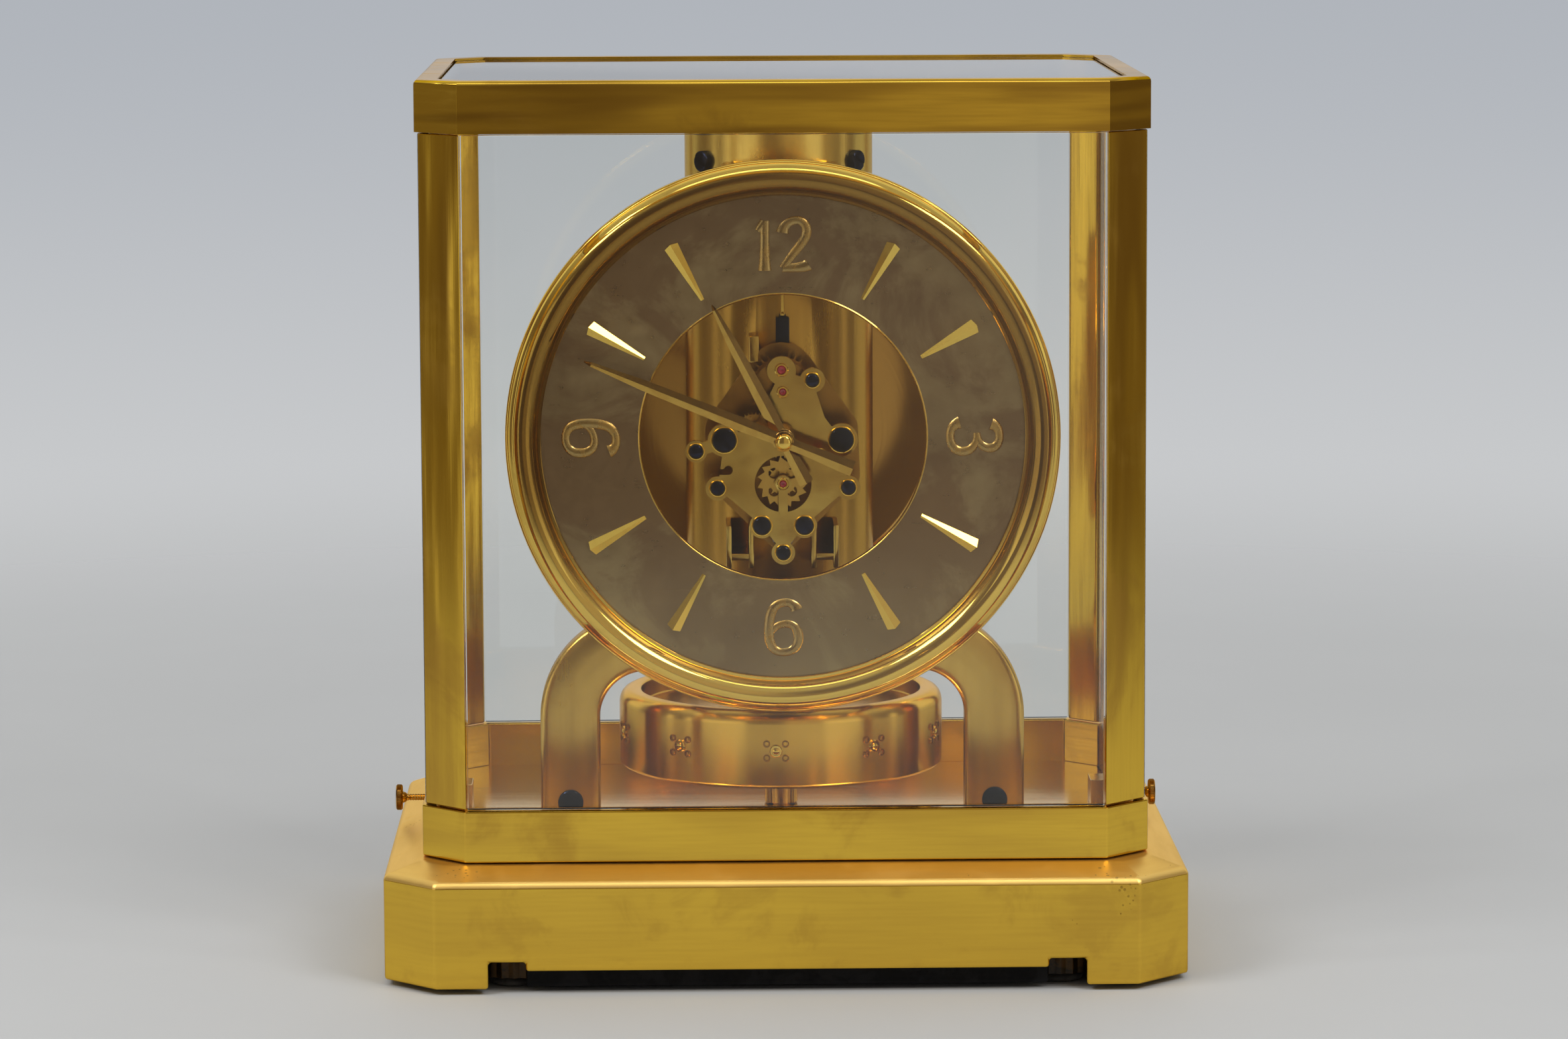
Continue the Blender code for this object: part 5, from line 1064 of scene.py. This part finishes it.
class CLOCK_OT_movement(bpy.types.Operator):
    """Movement plates, wheels, brackets, screws and jewels"""

    bl_idname = "clock.movement"
    bl_label = "Movement"

    # Depths of the front plate, and places on it from the dial's middle: x, z and radius
    FACE, BACK = -43, -41
    LOBES = (
        (-0.3, 17.2, 3.8), (7.8, 14.6, 3.3), (11, 4.8, 0), (15.4, -1.1, 4.3), (17.2, -13.8, 3.2),
        (5.6, -23.8, 3.3), (0, -31, 3.1), (-5.6, -23.8, 3.3), (-17.2, -13.8, 3.2), (-15.4, -1.1, 4.3),
        (-6.4, 3.8, 0), (-4.4, 9, 0),
    )
    EAR_LOBE = (-22.8, -4, 2.9)
    EAR = ((-22.8, -5.6), (-15, -3), (-15, 0.5), (-22.8, -2.2))
    WINDOW, CENTRE, HOOK = (0, -12.7, 7.5), (0, 0, 3.3), (-14.4, -9, 1.2)
    COCK_SEAT = (0, -12.7, 2.2)
    SCREWS = (
        (-15.4, -1.1, 3.1), (15.4, -1.1, 3.1), (7.8, 14.6, 1.7), (-17.2, -13.8, 1.8), (17.2, -13.8, 1.8),
        (-5.6, -23.8, 2.3), (5.6, -23.8, 2.3), (0, -31, 1.8), (-22.8, -4, 1.8),
    )
    JEWELS = ((-0.3, 17.4, 1.1), (0, 11.6, 0.9), (10, -5, 1.0), (0, -12.7, 0.9))
    # Rings round a screw or a jewel: the distance past its radius, and the height
    SINK = ((0.05, 0.1), (0.05, -0.1), (0.2, -0.26), (0.36, -0.24), (0.5, -0.05), (0.5, 0.1))
    SETTING = ((0, 0.1), (0, -0.3), (0.15, -0.45), (0.5, -0.45), (0.7, -0.25), (0.7, 0.1))
    STAY = [(0, 29.8), (0.7, 29.8), (0.7, 30.6), (0.5, 30.9), (0.5, 36.2), (0.35, 36.5), (0, 36.5)]

    def execute(self, context):
        fit(self.front_plate(), "base", "satin_brass", "movement_brass", "movement_front_plate")
        renew("movement_back_plate", "back_plate", "base", "satin_brass", "works_brass", 0.3)
        dress("wheel_brass", "hour_wheel", "minute_wheel", "escape_wheel", "winding_arbor")
        dress("works_brass", "barrel", "centre_wheel", "third_wheel")
        dress("bright_steel", "cannon_pinion", "pallet_lever")
        self.brackets()
        heads = []
        for x, z, radius in self.SCREWS:
            head = screw("plate_screw", radius, 0.5, radius * 0.5, 0.8)
            heads.append(place(head, at_point(*self.seat(x, z)) @ turn_of(17 * x + 40 * z, "Y")))
        fit(join("plate_screws", heads), "base", "blued_steel", "blued_steel")
        sinks = [self.collar("sink", self.SINK, *spot, 40) for spot in self.SCREWS]
        fit(ease(join("screw_sinks", sinks)), "base", "gilt_brass", "polished_gold")
        stones, settings = [], []
        for x, z, radius in self.JEWELS:
            rings = [(radius, 0.1), (radius, -0.15), (radius * 0.8, -0.35), (0.35, -0.3), (0.3, -0.1)]
            stones.append(turned("jewel", rings + [(0, -0.05)], self.seat(x, z), "Y", 24))
            settings.append(self.collar("setting", self.SETTING, x, z, radius, 32))
        fit(ease(join("jewels", stones)), "base", None, "ruby")
        fit(ease(join("jewel_settings", settings)), "base", "gilt_brass", "polished_gold")
        return {"FINISHED"}

    def seat(self, x, z):
        return x, self.FACE, DIAL_Z + z

    def collar(self, name, rings, x, z, radius, steps):
        rings = [(radius + r, h) for r, h in rings]
        return turned(name, rings, self.seat(x, z), "Y", steps, closed=True)

    def disc(self, name, x, z, radius, past=0):
        """A round bar through the plate, standing past it at both sides."""
        return rod(name, radius, (x, self.FACE - past, DIAL_Z + z), (x, self.BACK + past, DIAL_Z + z), 40)

    def front_plate(self):
        """A lobed plate with a window, a cock across it, a hooked notch and an ear at the left."""
        face, back = self.FACE, self.BACK
        plate = slab("front_plate", [(x, DIAL_Z + z) for x, z, _ in self.LOBES], face, back)
        lobes = [self.disc("lobe", *lobe) for lobe in (*self.LOBES, self.EAR_LOBE) if lobe[2]]
        lobes.append(slab("ear", [(x, DIAL_Z + z) for x, z in self.EAR], face, back))
        cut(plate, *lobes, way="UNION")
        cut(plate, self.disc("window", *self.WINDOW, 1), self.disc("centre", *self.CENTRE, 1))
        notch = block("notch", (-23, face - 1, DIAL_Z - 10.2), (-14.6, back + 1, DIAL_Z - 8.7))
        cut(plate, notch, self.disc("hook", *self.HOOK, 1))
        cock = block("cock", (-1.2, face, DIAL_Z - 21), (1.2, back, DIAL_Z - 12.7))
        cut(plate, cock, self.disc("seat", *self.COCK_SEAT), way="UNION")
        return ease(plate, 0.45 * MM, 3, 30)

    def brackets(self):
        """Brackets under the plates, and the strip and stay above them, all on the column's front."""
        frames = []
        for sign in (-1, 1):
            for x in (8.3, 14.2):
                inner, outer = sorted((sign * (x - 0.7), sign * (x + 0.7)))
                frames.append(block("post", (inner, -33, DIAL_Z - 36.5), (outer, -15, DIAL_Z - 25)))
            inner, outer = sorted((sign * 7.8, sign * 14.7))
            frames.append(block("rail", (inner, -32.6, DIAL_Z - 34.4), (outer, -17, DIAL_Z - 32.6)))
        frames.append(block("strip", (-8.6, -29, DIAL_Z + 18), (-6, -17, DIAL_Z + 25)))
        for bracket in frames:
            ease(bracket, 0.3 * MM)
        fit(join("brackets", frames), "base", "satin_brass", "movement_brass")
        spring = block("click_spring", (-1.4, -22.5, DIAL_Z + 21.6), (2.2, -19.8, DIAL_Z + 29.4))
        edit(spring, "FACE", lambda face: face.normal.z > 0.9)
        inset(0.9)
        draw((0, 0, 0.8))
        done()
        fit(ease(spring, 0.25 * MM), "base", "blued_steel", "blued_steel")
        stay = turned("stay_rod", self.STAY, (0.4, -21.2, DIAL_Z), "Z", 24)
        fit(ease(stay), "base", "gilt_brass", "polished_gold")


class CLOCK_OT_dial(bpy.types.Operator):
    """Dial ring, rim, batons and numerals, and the bezel round them"""

    bl_idname = "clock.dial"
    bl_label = "Dial and bezel"

    # Strokes of the numerals: x, y and the share of the stroke's width; a 9 is a 6 turned over
    STROKES = {
        "1": [
            [(-1.9, 3.9, 0.6), (-0.9, 5.2, 0.9), (0, 6.2, 1.0)],
            [(0, 6.5, 1.0), (0, 2, 0.85), (0, -3, 0.9), (0, -6.5, 1.35)],
        ],
        "2": [
            [(-3.1, 3.4, 1.35), (-2.8, 5.2, 1.0), (-0.6, 6.9, 0.8), (2.6, 6.6, 0.9), (3.8, 3.6, 1.0),
             (1.8, 0.2, 0.95), (-1.4, -3.4, 0.8), (-3, -5.9, 0.8)],
            [(-3.1, -5.9, 0.8), (0, -5.8, 0.9), (2.4, -5.8, 1.0), (3.7, -4.9, 1.3)],
        ],
        "3": [
            [(-3.2, 4.3, 1.3), (-2.6, 6, 0.9), (0.2, 6.9, 0.8), (3.4, 5.6, 0.95), (3.2, 2, 0.9),
             (0.8, 0.6, 0.7), (-0.9, 0.5, 0.7)],
            [(-0.9, 0.5, 0.7), (1.6, 0.6, 0.7), (4.4, -1.2, 0.95), (4, -5.6, 0.95), (0, -7, 0.8),
             (-3, -6, 0.9), (-3.6, -4, 1.3)],
        ],
        "6": [
            [(3.4, 4.6, 1.3), (2.8, 6.2, 0.9), (0.2, 7, 0.8), (-3.2, 5.4, 0.95), (-4, 1, 1), (-4, -3, 1),
             (-3, -6.2, 0.9), (0, -7, 0.8), (3.2, -6, 0.9), (4.2, -2.6, 1), (3, 0.6, 0.85), (0, 1.2, 0.75),
             (-2.8, 0, 0.7), (-3.8, -2, 0.6)],
        ],
    }
    NUMERALS = (("12", 0, 0), ("3", 90, 90), ("6", 180, 0), ("9", 270, 270))
    SHIFTS = {"12": {"1": -4.6, "2": 3.1}}
    NUMERAL_RADIUS = 50.3
    PLATE = [(37.7, -44.8), (37.7, -45.7), (38.0, -46), (66.5, -46), (66.5, -44.8)]
    RIM = [
        (37.45, -44.8), (37.4, -45.7), (37.5, -46.0), (37.75, -46.15), (38.0, -46.02), (37.7, -45.7),
        (37.7, -44.8),
    ]
    INSIDE = [(63.5, -46.25), (63.5, -46.8), (63.7, -47.0), (64.3, -47.0)]
    OUTSIDE = [
        (72.3, -47.0), (72.65, -46.9), (72.8, -46.6), (72.8, -44.4), (72.3, -43.8), (67.0, -43.8),
        (67.0, -46.25),
    ]
    BEAD_STEPS = 18
    # Feet of the bezel: x, z and how far back they reach
    FEET = ((-14, 208.78, -17.57), (14, 208.78, -17.57), (-28.11, 76.3, -20.3), (28.11, 76.3, -20.3))

    def execute(self, context):
        steps = sizes().bezel_rings
        at = (0, 0, DIAL_Z)
        plate = turned("dial_plate", self.PLATE, at, "Y", steps, closed=True)
        fit(ease(plate), "base", "dial_metal", "dial_metal", "dial_ring")
        rim = turned("dial_rim", self.RIM, at, "Y", steps, closed=True)
        fit(ease(rim), "base", "gilt_brass", "aged_gold")
        self.batons()
        for numeral in self.NUMERALS:
            self.numeral(*numeral)
        bends = [math.pi * n / self.BEAD_STEPS for n in range(self.BEAD_STEPS + 1)]
        bead = [(68.3 - 3.75 * math.cos(a), -47.3 - 3.7 * math.sin(a)) for a in bends]
        bezel = turned("bezel_ring", self.INSIDE + bead + self.OUTSIDE, at, "Y", steps, closed=True)
        feet = [rod("foot", 2, (x, -44, z), (x, y, z), 24) for x, z, y in self.FEET]
        bezel = ease(join("bezel_ring", [bezel, *feet]))
        fit(bezel, "base", "gilt_brass", "bezel_gold", "bezel")
        return {"FINISHED"}

    def batons(self):
        """Hour marks, each a wedge with a ridge that rises towards its outer end."""
        inner, outer, foot, top = 41.8, 58.6, -45.8, -46.15
        tip, heel = 0.5, 1.95
        back = outer - 0.6
        outline = [(0, inner), (tip, inner), (heel, back), (0, outer), (-heel, back), (-tip, inner)]
        first = slab("baton", outline, top, foot)

        def on_ridge(vert):
            return abs(vert.co.x) < 1e-6 and abs(vert.co.y - top * MM) < 1e-6

        edit(first, "VERT", on_ridge)
        bpy.ops.mesh.vert_connect_path()
        for end, rise in ((inner, 0.3), (outer, sizes().baton_ridge / MM)):
            choose("VERT", lambda vert: on_ridge(vert) and abs(vert.co.z - end * MM) < 1e-6)
            bpy.ops.transform.translate(value=(0, -rise * MM, 0))
        close_up()
        ease(first, angle=4)
        copies = []
        for hour in (1, 2, 4, 5, 7, 8, 10, 11):
            copies.append(copy_of(first, "baton", at_point(0, 0, DIAL_Z) @ turn_of(30 * hour, "Y")))
        scrap(first)
        fit(join("batons", copies), "base", "gilt_brass", "polished_gold")

    def numeral(self, text, hour, turns):
        pieces = []
        for mark in text:
            flip = -1 if mark == "9" else 1
            shift = self.SHIFTS.get(text, {}).get(mark, 0)
            for points in self.STROKES["6" if mark == "9" else mark]:
                pieces.append(self.stroke([(flip * x + shift, flip * y, w) for x, y, w in points]))
        piece = join(f"numeral_{text}", pieces)
        a = math.radians(hour)
        where = (self.NUMERAL_RADIUS * math.sin(a), -46, DIAL_Z + self.NUMERAL_RADIUS * math.cos(a))
        turn = turn_of(turns, "Y") @ turn_of(90, "X")
        place(piece, at_point(*where) @ turn @ Matrix.Diagonal((1, 1, 0.35, 1)))
        fit(ease(piece), "base", "gilt_brass", "numeral_gold")

    @staticmethod
    def stroke(points):
        """A rounded stroke along a smooth path, wider or narrower from point to point."""
        let_go()
        bpy.ops.curve.primitive_nurbs_path_add(radius=MM)
        curve = named("stroke").data
        curve.splines.clear()
        path = curve.splines.new("NURBS")
        path.points.add(len(points) - 1)
        for point, (x, y, w) in zip(path.points, points):
            point.co = (x * MM, y * MM, 0, 1)
            point.radius = w
        path.order_u = min(4, len(points))
        path.use_endpoint_u = True
        path.resolution_u = 10
        curve.bevel_depth = sizes().numeral_stroke
        curve.bevel_resolution = 3
        curve.use_fill_caps = True
        bpy.ops.object.convert(target="MESH")
        return active()


class CLOCK_OT_hands(bpy.types.Operator):
    """Ridged hour and minute hands and the nut that holds them"""

    bl_idname = "clock.hands"
    bl_label = "Hands"

    # Stations along a hand: the distance from the middle, and the width
    HOUR = [(-12.8, 3.7), (-12.2, 4.0), (-4, 3.1), (0, 3.2), (10, 3.8), (28, 2.8), (38.5, 1.2), (40, 0.3)]
    MINUTE = [(-19.4, 3.9), (-18.8, 4.2), (-6, 3.1), (0, 3.2), (14, 3.8), (40, 2.8), (54, 1.2), (56, 0.3)]
    NUT = [
        (0, -58.7), (1.2, -58.7), (1.7, -58.5), (2.0, -58.0), (2.2, -57.4), (2.2, -56.9), (1.9, -56.7),
        (2.1, -56.4), (2.1, -56.2), (0, -56.2),
    ]

    def execute(self, context):
        self.hand("hour_blade", self.HOUR, -52.5, 332.4, 3.0, "hour", "hour_hand")
        self.hand("minute_blade", self.MINUTE, -55.1, 292.2, 2.7, "minute", "minute_hand")
        nut = ease(turned("cap_nut", self.NUT, (0, 0, DIAL_Z), "Y", 40))
        fit(nut, "minute", "gilt_brass", "polished_gold", "hand_nut")
        return {"FINISHED"}

    def hand(self, name, stations, back, angle, hub, body, node):
        """A blade drawn out along its length from a ridged section, with a round hub."""
        z, width = stations[0]
        half, side = width / 2, back - 0.3
        ridge = side - sizes().hand_ridge / MM
        section = [(-half, back), (half, back), (half, side), (0, ridge), (-half, side)]
        piece = sheet(name, [Vector((x, y, z)) * MM for x, y in section])
        for (z0, w0), (z1, w1) in zip(stations, stations[1:]):
            draw((0, 0, z1 - z0))
            bpy.ops.transform.resize(value=(w1 / w0, 1, 1), center_override=(0, back * MM, z1 * MM))
        close_up()
        rings = [(hub, back), (hub, back - 0.45), (hub - 0.2, back - 0.6), (1.0, back - 0.8), (1.0, back)]
        boss = turned("hub", rings, (0, 0, 0), "Y", 40, closed=True)
        piece = ease(join(name, [piece, boss]), angle=14)
        place(piece, at_point(0, 0, DIAL_Z) @ turn_of(angle, "Y"))
        fit(piece, body, "gilt_brass", "hand_gold", node)


class CLOCK_OT_stage(bpy.types.Operator):
    """Pale floor, studio lamps, background and camera"""

    bl_idname = "clock.stage"
    bl_label = "Stage"

    LAMPS = {"softbox_left": (-0.95, -0.66, 1.22), "softbox_right": (0.81, -0.87, 1.19)}
    LAMP_SIZE, LAMP_POWER, LAMP_TINT = (0.62, 0.5), 8.5, (1.0, 0.985, 0.96)
    LAMP_AIM = (0, 0, 0.12)
    FLOOR_RADIUS, FLOOR_Z = 3.0, -0.0005
    # Distances from the clock between which the floor fades
    FADE = (0.3, 1.15)
    # Screens: the turn from straight ahead to the middle, and half the width, in radians
    SCREENS = ((-1.51, 0.05), (-0.85, 0.4), (0.76, 0.24), (1.51, 0.05))
    STRIP_RISE, STRIP_LIGHT = 1.25, (2.6, 2.55, 2.4, 1)
    EYE = (-26.503, -1465.844, 302.901)
    AHEAD, ROLL = (0.01861757, 0.99149379, -0.12881555), -0.24
    LENS, SENSOR = 125.125, 36

    def execute(self, context):
        scene = context.scene
        scene.view_settings.view_transform = "Standard"
        let_go()
        size = {"vertices": 96, "radius": self.FLOOR_RADIUS, "fill_type": "NGON"}
        bpy.ops.mesh.primitive_circle_add(location=(0, 0, self.FLOOR_Z), **size)
        floor = named("floor")
        settle()
        floor.data.materials.append(self.floor_paint())
        for name, where in self.LAMPS.items():
            self.lamp(name, Vector(where))
        self.background(scene)
        self.camera(scene)
        return {"FINISHED"}

    def lamp(self, name, where):
        let_go()
        bpy.ops.object.light_add(type="AREA", location=where)
        lamp = named(name)
        lamp.data.shape = "RECTANGLE"
        lamp.data.size, lamp.data.size_y = self.LAMP_SIZE
        lamp.data.energy = self.LAMP_POWER
        lamp.data.color = self.LAMP_TINT
        lamp.rotation_mode = "QUATERNION"
        lamp.rotation_quaternion = (Vector(self.LAMP_AIM) - where).to_track_quat("-Z", "Y")
        lamp.visible_camera = False

    def floor_paint(self):
        material, tree, shader, out, at = blank("pale_floor")
        grain = spread(tree, noise(tree, at, 6.0, 4.0), 0.3, 0.7)
        tint = colour("floor")
        worn = (*[part * 0.97 for part in tint[:3]], 1)
        paint = {"Base Color": blend(tree, grain, tint, worn), "Roughness": 0.7, "Specular IOR Level": 0.2}
        wire(tree, shader, paint)
        see_through(tree, spread(tree, length_of(tree, at), *self.FADE), shader, out)
        return material

    def background(self, scene):
        """Pale paper in sight; metal also meets a dim surround, a ceiling, screens and a strip of light."""
        world = bpy.data.worlds.new("studio")
        scene.world = world
        world.use_nodes = True
        tree = world.node_tree
        tree.nodes.clear()
        out = add(tree, "OutputWorld")
        x, y, z = add(tree, "SeparateXYZ", {0: add(tree, "TexCoord").outputs["Generated"]}).outputs
        paper = blend(tree, spread(tree, z, -0.14, -0.02), colour("paper_low"), colour("paper_high"))
        paper = blend(tree, spread(tree, z, 0.02, 0.12), paper, colour("paper_top"))
        right = sums(tree, "MULTIPLY", spread(tree, x, -0.04, 0.08), spread(tree, y, -0.2, -0.6))
        around = blend(tree, right, colour("surround"), colour("surround_right"))
        front = sums(tree, "MULTIPLY", y, -1.0)
        turn = sums(tree, "ARCTAN2", x, front)
        level = sums(tree, "MULTIPLY", spread(tree, z, 0.3, 0.2), spread(tree, z, -0.3, -0.2))
        for middle, half in self.SCREENS:
            off = sums(tree, "ABSOLUTE", sums(tree, "SUBTRACT", turn, middle))
            mask = sums(tree, "MULTIPLY", spread(tree, off, half + 0.03, half - 0.03), level)
            around = blend(tree, mask, around, colour("screen"))
        around = blend(tree, spread(tree, z, 0.35, 0.75), around, colour("ceiling"))
        rise = sums(tree, "SUBTRACT", sums(tree, "ARCTAN2", z, front), self.STRIP_RISE)
        tall = spread(tree, sums(tree, "ABSOLUTE", rise), 0.11, 0.08)
        wide = spread(tree, sums(tree, "ABSOLUTE", x), 0.42, 0.36)
        around = blend(tree, sums(tree, "MULTIPLY", wide, tall), around, self.STRIP_LIGHT)
        behind = spread(tree, sums(tree, "MULTIPLY_ADD", x, 0.12, y), 0.3, 0.5)
        around = blend(tree, behind, around, paper)
        light = add(tree, "LightPath").outputs
        direct = sums(tree, "LESS_THAN", light["Glossy Depth"], 0.5)
        through = sums(tree, "MULTIPLY", light["Is Transmission Ray"], direct)
        seen = sums(tree, "MAXIMUM", light["Is Camera Ray"], through)
        back = add(tree, "Background", {"Color": blend(tree, seen, around, paper), "Strength": 1.0})
        wire(tree, out, {"Surface": back.outputs[0]})

    def camera(self, scene):
        let_go()
        bpy.ops.object.camera_add()
        camera = named("camera")
        ahead = Vector(self.AHEAD).normalized()
        right = ahead.cross(Vector((0, 0, 1))).normalized()
        up = right.cross(ahead)
        roll = math.radians(self.ROLL)
        across = right * math.cos(roll) + up * math.sin(roll)
        upward = up * math.cos(roll) - right * math.sin(roll)
        camera.matrix_world = at_point(*self.EYE) @ Matrix((across, upward, -ahead)).transposed().to_4x4()
        camera.data.lens = self.LENS
        camera.data.sensor_width = self.SENSOR
        camera.data.sensor_fit = "HORIZONTAL"
        camera.data.clip_end = 50
        scene.camera = camera


OPERATORS = (
    CLOCK_OT_plinth, CLOCK_OT_cover_metal, CLOCK_OT_cover_glass, CLOCK_OT_thumb_screws, CLOCK_OT_floor_plate,
    CLOCK_OT_legs, CLOCK_OT_column, CLOCK_OT_drum, CLOCK_OT_pendulum, CLOCK_OT_movement, CLOCK_OT_dial,
    CLOCK_OT_hands, CLOCK_OT_stage,
)


class CLOCK_PT_pieces(bpy.types.Panel):
    """Lists the clock's pieces, sizes and colours"""

    bl_idname = "CLOCK_PT_pieces"
    bl_label = "Atmospheric clock"
    bl_space_type = "VIEW_3D"
    bl_region_type = "UI"
    bl_category = "Clock"

    def draw(self, context):
        for operator in OPERATORS:
            self.layout.operator(operator.bl_idname)
        for group in (context.scene.clock_sizes, context.scene.clock_colours):
            column = self.layout.column()
            for name in group.__annotations__:
                column.prop(group, name)


CLASSES = (ClockSizes, ClockColours, *OPERATORS, CLOCK_PT_pieces)


def register():
    for item in CLASSES:
        bpy.utils.register_class(item)
    bpy.types.Scene.clock_sizes = PointerProperty(type=ClockSizes)
    bpy.types.Scene.clock_colours = PointerProperty(type=ClockColours)


def unregister():
    del bpy.types.Scene.clock_colours
    del bpy.types.Scene.clock_sizes
    for item in reversed(CLASSES):
        bpy.utils.unregister_class(item)


def main():
    register()
    for operator in OPERATORS:
        group, name = operator.bl_idname.split(".")
        getattr(getattr(bpy.ops, group), name)()


if __name__ == "__main__":
    main()
